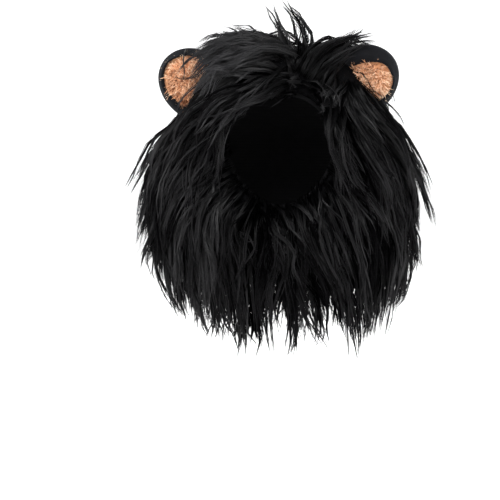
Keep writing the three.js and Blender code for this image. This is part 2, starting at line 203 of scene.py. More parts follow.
# Rings of locks round the face: their size beside the opening, how far forward they root, how many there
# are and how thick they are.
FACE_RINGS = (
    (0.95, 0.06, 130, 0.26),
    (1.0, 0.12, 96, 0.4),
    (1.07, 0.25, 60, 0.6),
    (1.15, 0.5, 44, 0.75),
    (1.25, 0.8, 38, 0.85),
)

# Locks that stand out of the rest: how many, their spread, how far they lie off the undercoat, their size,
# and their course as it is seen from the camera, in pixels of a picture 500 wide and high.
STYLED = (
    (6, 4, 8, 0.75, ((306, 86), (320, 66), (338, 48), (356, 37), (377, 33))),
    (4, 4, 7, 0.7, ((300, 80), (312, 60), (328, 44), (345, 35), (366, 30))),
    (5, 4, 5, 0.7, ((318, 92), (330, 76), (342, 60), (352, 50))),
    (7, 0.8, 3, 0.5, ((289, 66), (285, 46), (277, 24), (264, 2))),
    (8, 0.9, 3, 0.52, ((301, 68), (304, 44), (298, 21), (283, 0))),
    (5, 4, 5, 0.6, ((300, 74), (293, 56), (284, 42), (272, 33))),
    (4, 4, 5, 0.6, ((294, 72), (300, 56), (306, 46), (312, 40))),
    (5, 5, 7, 0.55, ((274, 62), (258, 44), (242, 32), (224, 30))),
    (4, 5, 8, 0.5, ((264, 52), (246, 42), (226, 40), (204, 46), (184, 60))),
    (4, 5, 10, 0.5, ((276, 66), (254, 58), (232, 62), (212, 74), (196, 92))),
    (4, 5, 6, 0.6, ((252, 60), (232, 48), (214, 40), (200, 42))),
    (6, 2.6, 7, 0.8, ((288, 56), (268, 41), (246, 36), (224, 41), (204, 50), (188, 56))),
    (6, 5, 8, 0.85, ((286, 62), (262, 48), (238, 44), (214, 52), (196, 68), (186, 84))),
    (5, 4, 8, 0.8, ((284, 72), (262, 62), (240, 62), (218, 70), (202, 84), (192, 100))),
    (5, 4, 10, 0.7, ((262, 66), (240, 76), (215, 92), (195, 112), (182, 140), (172, 166))),
    (5, 4, 9, 0.7, ((258, 80), (236, 90), (214, 106), (198, 128), (190, 150))),
    (4, 3, 7, 0.6, ((266, 86), (246, 94), (226, 106), (208, 124), (196, 140))),
    (3, 3, 6, 0.5, ((306, 84), (292, 77), (276, 82), (262, 94))),
    (2, 2, 5, 0.45, ((300, 92), (286, 88), (272, 92), (262, 100))),
    (3, 3, 5, 0.5, ((298, 70), (292, 78), (290, 92))),
    (4, 3, 5, 0.45, ((349, 84), (343, 97), (330, 114))),
    (4, 3, 5, 0.4, ((318, 80), (329, 92), (336, 108), (337, 128))),
    (4, 3, 4, 0.4, ((298, 82), (312, 87), (324, 97), (332, 114))),
    (3, 3, 5, 0.45, ((353, 86), (349, 102), (346, 118))),
    (3, 3, 5, 0.45, ((340, 76), (332, 92), (318, 106))),
    (5, 4, 8, 0.8, ((352, 84), (364, 104), (382, 132), (400, 165))),
    (5, 4, 8, 0.8, ((345, 88), (356, 112), (372, 142), (388, 178))),
    (4, 4, 9, 0.7, ((358, 90), (374, 106), (394, 132), (412, 166), (424, 200))),
    (4, 4, 10, 0.6, ((229, 152), (210, 168), (192, 190), (184, 210))),
    (1, 0, 6, 0.03, ((186, 50), (183, 60), (184, 77), (175, 94))),
    (1, 0, 6, 0.03, ((206, 68), (196, 75), (184, 78), (174, 74))),
    (1, 0, 6, 0.03, ((204, 80), (190, 90), (180, 102), (176, 112))),
    (1, 0, 6, 0.03, ((352, 66), (364, 74), (372, 88), (374, 102))),
    (1, 0, 6, 0.03, ((350, 84), (362, 86), (374, 92), (384, 104))),
    (2, 2, 12, 0.4, ((202, 165), (200, 195), (206, 215), (213, 236))),
    (4, 4, 8, 0.7, ((290, 218), (317, 262), (334, 292), (344, 316))),
    (4, 4, 8, 0.7, ((267, 212), (290, 250), (307, 288))),
    (3, 3, 8, 0.6, ((242, 216), (234, 250), (242, 290))),
    (4, 2, 8, 0.75, ((186, 118), (166, 132), (151, 149), (139, 172), (129, 192))),
    (5, 2, 8, 0.9, ((184, 132), (166, 154), (152, 178), (142, 204), (134, 226))),
    (5, 2, 8, 0.9, ((178, 150), (163, 182), (149, 212), (137, 246))),
    (5, 2, 8, 0.9, ((176, 185), (161, 220), (150, 246), (143, 270))),
    (3, 2, 6, 0.6, ((176, 215), (162, 240), (156, 266), (163, 290), (178, 314))),
    (3, 2, 6, 0.5, ((182, 235), (170, 260), (168, 284), (175, 304), (184, 318))),
    (3, 2, 6, 0.6, ((188, 250), (180, 275), (180, 298), (186, 322))),
    (3, 2, 6, 0.6, ((202, 265), (195, 290), (199, 316), (210, 342))),
    (3, 2, 8, 0.55, ((376, 112), (396, 124), (410, 142), (420, 166), (432, 188))),
    (4, 2, 8, 0.75, ((384, 124), (404, 150), (418, 178), (427, 204), (433, 228))),
    (4, 2, 8, 0.9, ((376, 134), (396, 164), (408, 192), (414, 220), (415, 236))),
    (4, 2, 8, 0.85, ((388, 162), (404, 192), (411, 222), (417, 248), (419, 268))),
    (4, 2, 7, 0.85, ((390, 190), (405, 220), (412, 248), (410, 276))),
    (4, 2, 6, 0.85, ((390, 222), (404, 250), (408, 274), (401, 296), (392, 312))),
    (4, 2, 6, 0.7, ((384, 245), (396, 268), (396, 290), (386, 310))),
    (2, 2, 10, 0.35, ((226, 220), (239, 234), (252, 243), (264, 245))),
    (2, 2, 10, 0.35, ((220, 232), (234, 250), (247, 262), (256, 282))),
    (4, 3, 10, 0.7, ((262, 214), (276, 236), (296, 262), (312, 290), (326, 322))),
    (4, 4, 3, 0.8, ((284, 226), (288, 262), (292, 300), (297, 338))),
    (3, 4, 3, 0.8, ((302, 226), (308, 262), (313, 300), (318, 334))),
    (3, 4, 3, 0.8, ((262, 232), (262, 265), (258, 300), (254, 334))),
    (3, 4, 2, 0.8, ((322, 230), (334, 262), (345, 292), (352, 324))),
    (4, 6, 2, 0.9, ((336, 222), (343, 252), (347, 282), (349, 308))),
    (4, 5, 2, 0.9, ((334, 240), (339, 272), (341, 304), (340, 336))),
    (3, 4, 2, 0.8, ((240, 232), (236, 262), (236, 294), (238, 326))),
)

# Deep locks that close the foot of the front, laid out in the same way.
STYLED += tuple(
    (2, 5, 0.5, 1.0, ((x, 228), (x, 258), (x + 1, 288), (x + 2, 318))) for x in range(200, 366, 9)
)


def ease(low, high, value):
    share = np.clip((value - low) / (high - low), 0.0, 1.0)
    return share * share * (3 - 2 * share)


def unit(vectors):
    length = np.linalg.norm(vectors, axis=-1, keepdims=True)
    return vectors / np.maximum(length, 1e-9)


def xyz(x, y, z):
    """Points from their coordinates, each an array or one number for all."""
    return np.stack(np.broadcast_arrays(x, y, z), -1)


def round_turn(count):
    """Angles at even steps round a full turn."""
    return np.arange(count) / count * 2 * math.pi


def oval_front(x, wide, deep, centre=0.0):
    """How far forward an oval section lies at x."""
    return centre - deep * np.sqrt(np.clip(1 - (x / wide) ** 2, 0, 1))


# Shapes of the hood and the pile


def hood_section(place, grow):
    """Half width, half depth, centre y and z of the hood at a place from 0 at the top to 1 at the hem."""
    place = np.asarray(place, float)
    angle = np.minimum(place, 0.5) * math.pi
    drop = np.maximum(place * 2 - 1, 0.0)
    neck = np.interp(drop, COLLAR_ROWS[:, 0], COLLAR_ROWS[:, 1])
    hem = np.interp(drop, COLLAR_ROWS[:, 0], COLLAR_ROWS[:, 2])
    head = 1 - neck - hem
    wide = head * HEAD_HALF_WIDTH + neck * NECK_HALF_WIDTH + hem * HEM_HALF_WIDTH + grow
    deep = head * HEAD_HALF_DEPTH + neck * NECK_HALF_DEPTH + hem * HEM_HALF_DEPTH + grow
    on_dome = place <= 0.5
    wide = np.where(on_dome, (HEAD_HALF_WIDTH + grow) * np.sin(angle), wide)
    deep = np.where(on_dome, (HEAD_HALF_DEPTH + grow) * np.sin(angle), deep)
    rise = np.where(on_dome, (DOME_HEIGHT + grow) * np.cos(angle), -drop * COLLAR_HEIGHT)
    z = -DOME_HEIGHT + rise
    return wide, deep, (neck + hem) * NECK_SET_BACK, z


def hood_at_height(z, grow):
    """Half width, half depth and centre y of the hood at heights z."""
    places = np.linspace(0, 1, 400)
    wide, deep, centre, heights = hood_section(places, grow)
    order = np.argsort(heights)
    return tuple(np.interp(z, heights[order], values[order]) for values in (wide, deep, centre))


def hood_front(x, z, grow):
    """How far forward the hood lies at x and z."""
    return oval_front(x, *hood_at_height(z, grow))


def face_point(angle, scale=1.0):
    """x and z of the face opening's edge."""
    up = np.sin(angle)
    narrow = np.where(up < 0, 1 + (1 - FACE_CHIN_SHARE) * up, 1.0)
    reach = np.where(up < 0, FACE_DROP, FACE_RISE)
    return np.cos(angle) * FACE_HALF_WIDTH * narrow * scale, FACE_Z + up * reach * scale


def in_face(points, scale, margin=0.0):
    """How far out of the face opening points lie, below 1 inside it, seen from the front."""
    up = points[..., 2] - FACE_Z
    reach = np.where(up > 0, FACE_RISE, FACE_DROP) * scale + margin
    narrow = np.where(up < 0, 1 + (1 - FACE_CHIN_SHARE) * np.clip(up / reach, -1, 0), 1.0)
    return np.hypot(points[..., 0] / (FACE_HALF_WIDTH * scale * narrow + margin), up / reach)


def on_face(points, flare, margin):
    """Which points lie in front of the face opening, or of as much of its flare as is given."""
    return (in_face(points, 1 + FACE_FLARE * flare, margin) < 1) & (points[:, 1] < 0)


def pile_section(drop):
    columns = [np.interp(drop, PILE_ROWS[:, 0], PILE_ROWS[:, i]) for i in (1, 2, 3)]
    return columns[0] * PILE_HALF_WIDTH, columns[1] * PILE_FRONT, columns[2] * PILE_BACK


def pile_edge(aside):
    return PILE_BOTTOM - PILE_SIDE_LIFT * aside**2 - PILE_SWAY * aside


def pile_point(about, drop):
    """Points on the pile's body. about is 0 at the front and a quarter turn at +X."""
    wide, front, back = pile_section(drop)
    aside = np.sin(about)
    reach = np.where(np.cos(about) > 0, front, back)
    z = PILE_TOP - drop * (PILE_TOP + pile_edge(aside))
    return xyz(aside * wide, -np.cos(about) * reach, z)


def pile_ways(about, drop):
    """The ways across, down and straight off the pile."""
    step = 0.02
    here = np.clip(drop, step, 1 - step)
    across = unit(pile_point(about + step, here) - pile_point(about - step, here))
    fall = unit(pile_point(about, here + step) - pile_point(about, here - step))
    return across, fall, unit(np.cross(fall, across))


def locate(points):
    """Where round and down the pile points are."""
    x, y, z = points[..., 0], points[..., 1], points[..., 2]
    aside = np.clip(x / PILE_HALF_WIDTH, -1, 1)
    for _ in range(4):
        drop = np.clip((PILE_TOP - z) / (PILE_TOP + pile_edge(aside)), 0.004, 1.0)
        wide, front, back = pile_section(drop)
        about = np.arctan2(x / wide, -y / np.where(y < 0, front, back))
        aside = np.sin(about)
    return about, drop


def ripple(points, size, seed):
    """A smooth number from -1 to 1 that varies over the size given, in millimetres."""
    made = np.zeros(points.shape[:-1])
    for k in range(4):
        spin = seed * 1.7 + k * 2.4
        way = np.array([math.sin(spin), math.cos(spin * 1.3), math.sin(spin * 0.7 + 1)])
        made = made + np.sin(points @ way / size * (2.1 + 0.8 * k) + spin * 5.1)
    return made / 4


# Meshes


def new_object(name, points, faces, smooth=True):
    """A mesh object from points in millimetres and faces of any size."""
    mesh = bpy.data.meshes.new(name)
    mesh.from_pydata([tuple(p) for p in np.asarray(points, float) * MM], [], [tuple(f) for f in faces])
    mesh.validate()
    mesh.update()
    made = bpy.data.objects.new(name, mesh)
    bpy.context.collection.objects.link(made)
    if smooth:
        mesh.shade_smooth()
    return made


def face_outwards(thing):
    work = bmesh.new()
    work.from_mesh(thing.data)
    bmesh.ops.recalc_face_normals(work, faces=work.faces)
    work.to_mesh(thing.data)
    work.free()


def grid_faces(rows, columns, closed_columns=True):
    """Four-sided faces between rows of points, each row closed to a ring or open."""
    faces = []
    last = columns if closed_columns else columns - 1
    for i in range(rows - 1):
        for j in range(last):
            k = (j + 1) % columns
            faces.append((i * columns + j, i * columns + k, (i + 1) * columns + k, (i + 1) * columns + j))
    return faces


def closed_loft(name, rings, first, last):
    """A closed skin through rings of equally many points, with a fan to a point at each end."""
    count = len(rings[0])
    points = np.concatenate([np.concatenate(rings), [first, last]])
    faces = grid_faces(len(rings), count)
    head, tail = len(points) - 2, len(points) - 1
    start = (len(rings) - 1) * count
    for j in range(count):
        k = (j + 1) % count
        faces.append((head, k, j))
        faces.append((tail, start + j, start + k))
    made = new_object(name, points, faces)
    face_outwards(made)
    return made


def mesh_points(mesh):
    """A mesh's points in millimetres."""
    points = np.empty(len(mesh.vertices) * 3)
    mesh.vertices.foreach_get("co", points)
    return points.reshape(-1, 3) / MM


def move_points(mesh, points):
    mesh.vertices.foreach_set("co", (points * MM).astype(np.float32).ravel())
    mesh.update()


def apply_modifiers(thing):
    graph = bpy.context.evaluated_depsgraph_get()
    fresh = bpy.data.meshes.new_from_object(thing.evaluated_get(graph))
    thing.modifiers.clear()
    thing.data = fresh


def cut(thing, tools):
    for tool in tools:
        mod = thing.modifiers.new("cut", "BOOLEAN")
        mod.operation = "DIFFERENCE"
        mod.solver = "EXACT"
        mod.object = tool
        apply_modifiers(thing)
        bpy.data.objects.remove(tool)


def subdivide(thing):
    mod = thing.modifiers.new("round", "SUBSURF")
    mod.levels = 1
    apply_modifiers(thing)
    thing.data.shade_smooth()


def hood_loft(name, grow, sides, lowest=None):
    places = np.concatenate([np.linspace(0.03, 0.5, 16), np.linspace(0.53, 1, 22)])
    about = round_turn(sides)
    rings = []
    for place in places:
        wide, deep, centre, z = hood_section(place, grow)
        rings.append(xyz(np.sin(about) * wide, centre - np.cos(about) * deep, z))
    if lowest is not None:
        foot = rings[-1].copy()
        foot[:, 2] = lowest
        rings.append(foot)
    end = float(rings[-1][0][2])
    return closed_loft(name, rings, (0, 0, grow), (0, NECK_SET_BACK, end))


def face_tunnel(name, flare, sides=96):
    angles = round_turn(sides)
    rings = []
    for y, scale in ((0, 1), (-30, 1), (-128, 1 + flare)):
        x, z = face_point(angles, scale)
        rings.append(xyz(x, y, z))
    return closed_loft(name, rings, (0, 0, FACE_Z), (0, -128, FACE_Z))


def block(name, low, high):
    xs, ys, zs = zip(low, high)
    points = [(x, y, z) for x in xs for y in ys for z in zs]
    faces = [(0, 1, 3, 2), (4, 6, 7, 5), (0, 4, 5, 1), (2, 3, 7, 6), (0, 2, 6, 4), (1, 5, 7, 3)]
    return new_object(name, points, faces, smooth=False)


def tube(path, radius, sides, closed=True):
    """Points and faces of a tube along a path."""
    path = np.asarray(path, float)
    count = len(path)
    if closed:
        ahead = unit(np.roll(path, -1, 0) - np.roll(path, 1, 0))
    else:
        ahead = unit(np.gradient(path, axis=0))
    side = unit(np.cross(ahead, unit(path - path.mean(0))))
    out = unit(np.cross(side, ahead))
    turns = round_turn(sides)[None, :, None]
    ring = side[:, None] * np.cos(turns) + out[:, None] * np.sin(turns)
    radii = np.broadcast_to(np.asarray(radius, float), (count,))
    points = (path[:, None] + ring * radii[:, None, None]).reshape(-1, 3)
    faces = grid_faces(count, sides)
    if closed:
        start = (count - 1) * sides
        faces += [(start + j, start + (j + 1) % sides, (j + 1) % sides, j) for j in range(sides)]
    else:
        faces.append(tuple(range(sides))[::-1])
        faces.append(tuple(range((count - 1) * sides, count * sides)))
    return points, faces


def merge(parts):
    """One set of points and faces from several."""
    points, faces, offset = [], [], 0
    for some, ones in parts:
        points.append(np.asarray(some, float))
        faces += [tuple(i + offset for i in face) for face in ones]
        offset += len(some)
    return np.concatenate(points), faces


def round_map(thing, name, around_mm, up_mm):
    """A UV map of the way round and the height, in turns of the pattern."""
    layer = thing.data.uv_layers.new(name=name)
    count = len(thing.data.loops)
    index = np.empty(count, np.int32)
    thing.data.loops.foreach_get("vertex_index", index)
    points = mesh_points(thing.data)[index]
    turn = np.arctan2(points[:, 0], points[:, 1])
    sizes = np.empty(len(thing.data.polygons), np.int32)
    thing.data.polygons.foreach_get("loop_total", sizes)
    first = np.concatenate([[0], np.cumsum(sizes)[:-1]])
    start = np.repeat(turn[first], sizes)
    turn = turn - np.round((turn - start) / (2 * math.pi)) * 2 * math.pi
    made = np.stack([turn * 50 / around_mm, points[:, 2] / up_mm], -1)
    layer.uv.foreach_set("vector", made.astype(np.float32).ravel())


def finish_piece(thing, material, nodes):
    thing.data.materials.clear()
    thing.data.materials.append(material)
    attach(thing, "root")
    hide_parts(*nodes)


# Strands


def fill_mesh(name, points, triangles, uvs, numbers):
    """A mesh object of many strands, from arrays alone."""
    mesh = bpy.data.meshes.new(name)
    mesh.vertices.add(len(points))
    mesh.vertices.foreach_set("co", (points * MM).astype(np.float32).ravel())
    mesh.loops.add(triangles.size)
    mesh.loops.foreach_set("vertex_index", triangles.astype(np.int32).ravel())
    mesh.polygons.add(len(triangles))
    mesh.polygons.foreach_set("loop_start", np.arange(0, triangles.size, 3, dtype=np.int32))
    mesh.update(calc_edges=True)
    layer = mesh.uv_layers.new(name="OFBake")
    layer.uv.foreach_set("vector", uvs.astype(np.float32).ravel())
    for key, data in numbers.items():
        values = mesh.attributes.new(name=key, type="FLOAT", domain="POINT").data
        values.foreach_set("value", data.astype(np.float32))
    mesh.shade_smooth()
    mesh.validate()
    made = bpy.data.objects.new(name, mesh)
    bpy.context.collection.objects.link(made)
    return made


def strand_mesh(name, paths, widths, tones, sides=3):
    """Closed tapered strands along paths (strand, step, xyz), each with its own place in the UV map."""
    count, steps = paths.shape[:2]
    ahead = np.empty_like(paths)
    ahead[:, 1:-1] = paths[:, 2:] - paths[:, :-2]
    ahead[:, 0] = paths[:, 1] - paths[:, 0]
    ahead[:, -1] = paths[:, -1] - paths[:, -2]
    ahead = unit(ahead)
    hint = np.where(np.abs(ahead[:, :1, 2:3]) > 0.9, [1.0, 0.0, 0.0], [0.0, 0.0, 1.0])
    side = np.empty_like(paths)
    side[:, 0] = unit(np.cross(ahead[:, 0], hint[:, 0]))
    for k in range(1, steps):
        slid = side[:, k - 1] - ahead[:, k] * np.sum(side[:, k - 1] * ahead[:, k], -1, keepdims=True)
        side[:, k] = unit(slid)
    out = np.cross(ahead, side)
    rings = steps - 1
    turns = round_turn(sides) + 0.4
    ring = side[:, :rings, None] * np.cos(turns)[:, None] + out[:, :rings, None] * np.sin(turns)[:, None]
    body = paths[:, :rings, None] + ring * (widths[:, :rings, None, None] / 2)
    points = np.concatenate([body.reshape(count, rings * sides, 3), paths[:, -1:]], 1)
    along = np.repeat(np.linspace(0, 1, steps)[:rings], sides)
    along = np.append(along, 1.0)

    triangles, cells = [], []

    def across(j):
        return 0.08 + 0.84 * j / sides

    def up(i):
        return 0.04 + 0.92 * i / rings

    for i in range(rings - 1):
        for j in range(sides):
            k = (j + 1) % sides
            a, b, c, d = i * sides + j, i * sides + k, (i + 1) * sides + k, (i + 1) * sides + j
            low, high, left, right = up(i), up(i + 1), across(j), across(j + 1)
            triangles += [(a, b, c), (a, c, d)]
            cells.append(((left, low), (right, low), (right, high)))
            cells.append(((left, low), (right, high), (left, high)))
    base, tip = (rings - 1) * sides, rings * sides
    for j in range(sides):
        k = (j + 1) % sides
        triangles.append((base + j, base + k, tip))
        low = up(rings - 1)
        cells.append(((across(j), low), (across(j + 1), low), (across(j + 0.5), up(rings))))
    for j in range(1, sides - 1):
        triangles.append((0, j + 1, j))
        cells.append(((0.08, 0.0), (0.92, 0.0), (0.5, 0.03)))
    triangles = np.array(triangles)
    cells = np.array(cells)
    per = rings * sides + 1
    all_triangles = (triangles[None] + (np.arange(count) * per)[:, None, None]).reshape(-1, 3)
    across_count = int(math.ceil(math.sqrt(count)))
    corner = np.stack([np.arange(count) % across_count, np.arange(count) // across_count], -1)
    uvs = (cells[None] + corner[:, None, None]) / across_count
    values = {"along": np.tile(along, count), "tone": np.repeat(tones, per)}
    return fill_mesh(name, points.reshape(-1, 3), all_triangles, uvs.reshape(-1, 2), values)


def along_guides(guides, share):
    """Points of guides (strand, step, xyz) at shares (strand, any) of their length."""
    steps = guides.shape[1]
    place = np.clip(share, 0, 1) * (steps - 1)
    low = np.minimum(place.astype(int), steps - 2)
    part = (place - low)[..., None]
    rows = np.arange(len(guides))[:, None]
    return guides[rows, low] * (1 - part) + guides[rows, low + 1] * part


# Ears


def ear_matrix(name):
    ear = EARS[name]
    rise = math.radians(ear["rise"])
    place = Vector((ear["side"] * math.cos(rise) * EAR_REACH, 0, -DOME_HEIGHT + math.sin(rise) * EAR_REACH))
    turned = Matrix.Rotation(ear["side"] * (math.pi / 2 - rise), 4, "Y")
    turned = turned @ Matrix.Rotation(math.radians(-ear["tilt"]), 4, "X")
    turned = turned @ Matrix.Rotation(math.radians(ear["side"] * ear["turn"]), 4, "Z")
    return np.array(Matrix.Translation(place) @ turned)


def place_in(matrix, points):
    return points @ matrix[:3, :3].T + matrix[:3, 3]


def ear_local(name, points):
    return place_in(np.linalg.inv(ear_matrix(name)), points)


def beside_ears(points):
    """Which points lie where an ear stands."""
    taken = np.zeros(len(points), bool)
    for name in EARS:
        x, y, z = ear_local(name, points).T
        near = np.hypot(x / EAR_HALF_WIDTH, (z - EAR_MIDDLE) / EAR_HALF_HEIGHT) < 1
        taken |= near & (np.abs(y) < EAR_HALF_DEPTH + 1)
    return taken


def off_the_hood(points, clear=2.6):
    """Points moved out of the hood's dome."""
    middle = np.array([0, 0, -DOME_HEIGHT])
    from_middle = points - middle
    away = np.linalg.norm(from_middle, axis=-1, keepdims=True)
    least = HEAD_HALF_WIDTH + clear
    return np.where(away < least, middle + from_middle * least / np.maximum(away, 1), points)


def out_of_ears(points, front, clear):
    """Points of strands moved out of both ears, to the side of the ear where their strand is rooted."""
    for name in EARS:
        matrix = ear_matrix(name)
        local = ear_local(name, points)
        x = local[..., 0] / (EAR_HALF_WIDTH + clear)
        z = (local[..., 2] - EAR_MIDDLE) / (EAR_HALF_HEIGHT + clear)
        room = 1 - x**2 - z**2
        depth = (EAR_HALF_DEPTH + clear) * np.sqrt(np.clip(room, 0, 1))
        ahead = -np.minimum(depth, 7.5 + clear)
        inside = (room > 0) & (local[..., 1] > ahead) & (local[..., 1] < depth)
        local[..., 1] = np.where(inside, np.where(front, ahead, depth), local[..., 1])
        points = place_in(matrix, local)
    return points


# Node maths


class Wire:
    """An output of a shader node, which can stand in an ordinary expression."""

    def __init__(self, finish, socket):
        self.finish = finish
        self.socket = socket

    def maths(self, operation, first, second=0.0):
        return self.finish.node("ShaderNodeMath", {"operation": operation}, {0: first, 1: second})

    def __add__(self, other):
        return self.maths("ADD", self, other)

    __radd__ = __add__

    def __sub__(self, other):
        return self.maths("SUBTRACT", self, other)

    def __rsub__(self, other):
        return self.maths("SUBTRACT", other, self)

    def __mul__(self, other):
        return self.maths("MULTIPLY", self, other)

    __rmul__ = __mul__

    def sine(self):
        return self.maths("SINE", self)

    def size(self):
        return self.maths("ABSOLUTE", self)

    def held(self):
        """The value kept between 0 and 1."""
        return self.finish.node("ShaderNodeClamp", {}, {0: self})


class Finish:
    """A material made node by node."""

    def __init__(self, name):
        self.material = bpy.data.materials.new(name)
        self.material.use_nodes = True
        self.tree = self.material.node_tree
        self.shader = self.tree.nodes["Principled BSDF"]

    def node(self, kind, settings=None, sockets=None, output=0):
        made = self.tree.nodes.new(kind)
        for key, value in (settings or {}).items():
            setattr(made, key, value)
        for key, value in (sockets or {}).items():
            self.join(made.inputs[key], value)
        return Wire(self, made.outputs[output])

    def join(self, socket, value):
        if isinstance(value, Wire):
            self.tree.links.new(value.socket, socket)
        elif isinstance(value, (tuple, list)) and socket.type == "RGBA" and len(value) == 3:
            socket.default_value = tuple(value) + (1.0,)
        else:
            socket.default_value = value

    def blend(self, share, first, second):
        """A colour between two, by a share from 0 to 1."""
        return self.node("ShaderNodeMix", {"data_type": "RGBA"}, {0: share, 6: first, 7: second}, 2)

    def tint(self, colour, amount):
        """A colour made lighter or darker by a number."""
        return self.node("ShaderNodeVectorMath", {"operation": "SCALE"}, {0: colour, "Scale": amount})

    def place(self):
        """The place on the piece, in metres."""
        return self.node("ShaderNodeTexCoord", {}, {}, 3)

    def noise(self, scale, detail=3.0, rough=0.55):
        """Noise over the piece, whose scale is one number or one each for x, y and z."""
        where = self.place()
        if isinstance(scale, tuple):
            where = self.node("ShaderNodeMapping", {}, {"Vector": where, "Scale": scale})
            scale = 1.0
        sockets = {"Vector": where, "Scale": scale, "Detail": detail, "Roughness": rough}
        return self.node("ShaderNodeTexNoise", {}, sockets)

    def mapped(self, name):
        return self.node("ShaderNodeUVMap", {"uv_map": name})

    def value(self, name):
        return self.node("ShaderNodeAttribute", {"attribute_name": name}, {}, 2)

    def bump(self, height, distance, strength=1.0):
        sockets = {"Height": height, "Distance": distance, "Strength": strength}
        return self.node("ShaderNodeBump", {}, sockets)

    def give(self, **sockets):
        """Sets the shader's sockets, with _ for a space in each name."""
        for key, value in sockets.items():
            self.join(self.shader.inputs[key.replace("_", " ")], value)
        return self.material


def long_pile_finish(look):
    """Glossy modacrylic strands with painted shade: darker and duller at the roots and on the deep locks low
    in the pile, lighter and glossier on the locks on top.
    """
    made = Finish("long_pile_strands")
    along = made.value("along")
    tone = made.value("tone")
    cloud = made.noise(60.0, 2.0)
    # Painted shade: the roots and the deep locks, whose tone is low, are darkened; the cloud varies the
    # colour at random.
    painted_shade_and_tone = (0.35 + along * 0.8) * (0.12 + tone * 1.5) * (0.6 + cloud * 0.8)
    colour = made.tint(made.blend(along, tuple(look.root_colour), tuple(look.tip_colour)), painted_shade_and_tone)
    # Painted shade in the gloss too: it fades towards the roots and on the deep locks.
    gloss = (tone * tone * (0.25 + along * 0.9) * (0.5 + cloud)).held() * look.shine
    rough = 0.55 - tone * 0.1
    return made.give(
        Base_Color=colour,
        Roughness=rough,
        Specular_IOR_Level=0.0,
        Coat_Weight=gloss,
        Coat_Roughness=look.gloss_spread,
        Coat_IOR=1.5,
    )


def undercoat_finish():
    """The dense foot of the pile, matt, with a combed grain; its black is darkened further as painted shade
    between the locks.
    """
    made = Finish("pile_undercoat")
    grain = made.noise((260.0, 260.0, 26.0), 5.0, 0.6)
    clumps = made.noise((60.0, 60.0, 14.0), 3.0)
    share = (grain * 0.6 + clumps * 0.5).held()
    # Painted shade: darker than the strands' tips, so the gaps between the locks read as shaded.
    colour = made.blend(share, (0.0004, 0.0004, 0.0005), (0.0026, 0.0026, 0.003))
    bumpy = made.bump(grain + clumps * 0.8, 0.0022, 0.9)
    return made.give(Base_Color=colour, Roughness=0.62 + grain * 0.2, Specular_IOR_Level=0.02, Normal=bumpy)


def knit_finish():
    """Stretch jersey: columns of stitches with a soft fuzz over them."""
    made = Finish("knitted_backing")
    parts = made.node("ShaderNodeSeparateXYZ", {}, {0: made.mapped("Knit")})
    up = Wire(made, parts.socket.node.outputs[1])
    column = (parts * (2 * math.pi)).sine()
    lean = column.size() * 0.55
    row = ((up + lean) * (2 * math.pi)).sine()
    stitch = (1 - column * column) * 0.35 + row * 0.12 + 0.4
    fuzz = made.noise(900.0, 4.0, 0.7)
    wear = made.noise(30.0, 3.0)
    share = (stitch * 0.55 + fuzz * 0.35 + wear * 0.25 - 0.1).held()
    # Black jersey, darkened further as painted shade so the hollow inside the hood reads as shaded.
    colour = made.blend(share, (0.0005, 0.0005, 0.0006), (0.0042, 0.0042, 0.0048))
    bumpy = made.bump(stitch + fuzz * 0.5, 0.00045, 0.9)
    return made.give(
        Base_Color=colour,
        Roughness=0.82 + fuzz * 0.15,
        Specular_IOR_Level=0.08,
        Sheen_Weight=0.012,
        Sheen_Roughness=0.45,
        Normal=bumpy,
    )


def nap_finish():
    """Short black velour on the ears: a fine nap that catches light at the edges."""
    made = Finish("short_nap_cloth")
    nap = made.noise(1500.0, 4.0, 0.7)
    brushed = made.noise((140.0, 140.0, 70.0), 4.0, 0.6)
    share = (nap * 0.5 + brushed * 0.7 - 0.15).held()
    colour = made.blend(share, (0.0006, 0.0006, 0.0009), (0.0048, 0.0053, 0.0072))
    bumpy = made.bump(nap + brushed * 0.8, 0.0005, 0.8)
    return made.give(
        Base_Color=colour,
        Roughness=0.78 + nap * 0.18,
        Specular_IOR_Level=0.15,
        Sheen_Weight=0.05,
        Sheen_Roughness=0.4,
        Sheen_Tint=(0.7, 0.75, 0.9, 1.0),
        Normal=bumpy,
    )


def plush_finish(look, name="tan_plush", fibres=True):
    """Tan plush with painted light and shade: paler towards the tips of the fibres and on the lit side,
    deeper orange near their roots and on the shaded side.
    """
    made = Finish(name)
    patches = made.noise(130.0, 3.0)
    if fibres:
        # Painted light and shade by the fibres' length and their tone, with patches that vary it at random.
        share = (made.value("along") * 0.95 + made.value("tone") * 0.9 + patches * 0.4 - 0.72).held()
    else:
        # The pad under the fibres varies at random between the painted shade colour, the tan and the pale.
        share = (made.noise(420.0, 4.0, 0.7) * 0.8 + patches * 0.3 - 0.25).held()
    low = made.blend((share * 2.0).held(), tuple(look.plush_painted_shade), tuple(look.plush_tan))
    colour = made.blend((share * 2.0 - 1.0).held(), low, tuple(look.plush_pale))
    return made.give(
        Base_Color=colour,
        Roughness=0.75 + patches * 0.2,
        Specular_IOR_Level=0.25,
        Sheen_Weight=0.15,
        Sheen_Roughness=0.5,
        Sheen_Tint=(1.0, 0.85, 0.7, 1.0),
    )


def closing_finish():
    """Woven hook-and-loop tape: a fine loop pile between plain woven edges."""
    made = Finish("closing_tape")
    loops = made.noise(1300.0, 4.0, 0.75)
    weave = made.node("ShaderNodeTexVoronoi", {"feature": "F1"}, {"Vector": made.place(), "Scale": 1100.0})
    share = (loops * 0.7 + weave * 0.5 - 0.15).held()
    colour = made.blend(share, (0.004, 0.004, 0.004), (0.03, 0.03, 0.031))
    bumpy = made.bump(loops + weave, 0.0006, 1.0)
    return made.give(Base_Color=colour, Roughness=0.7 + loops * 0.25, Specular_IOR_Level=0.3, Normal=bumpy)


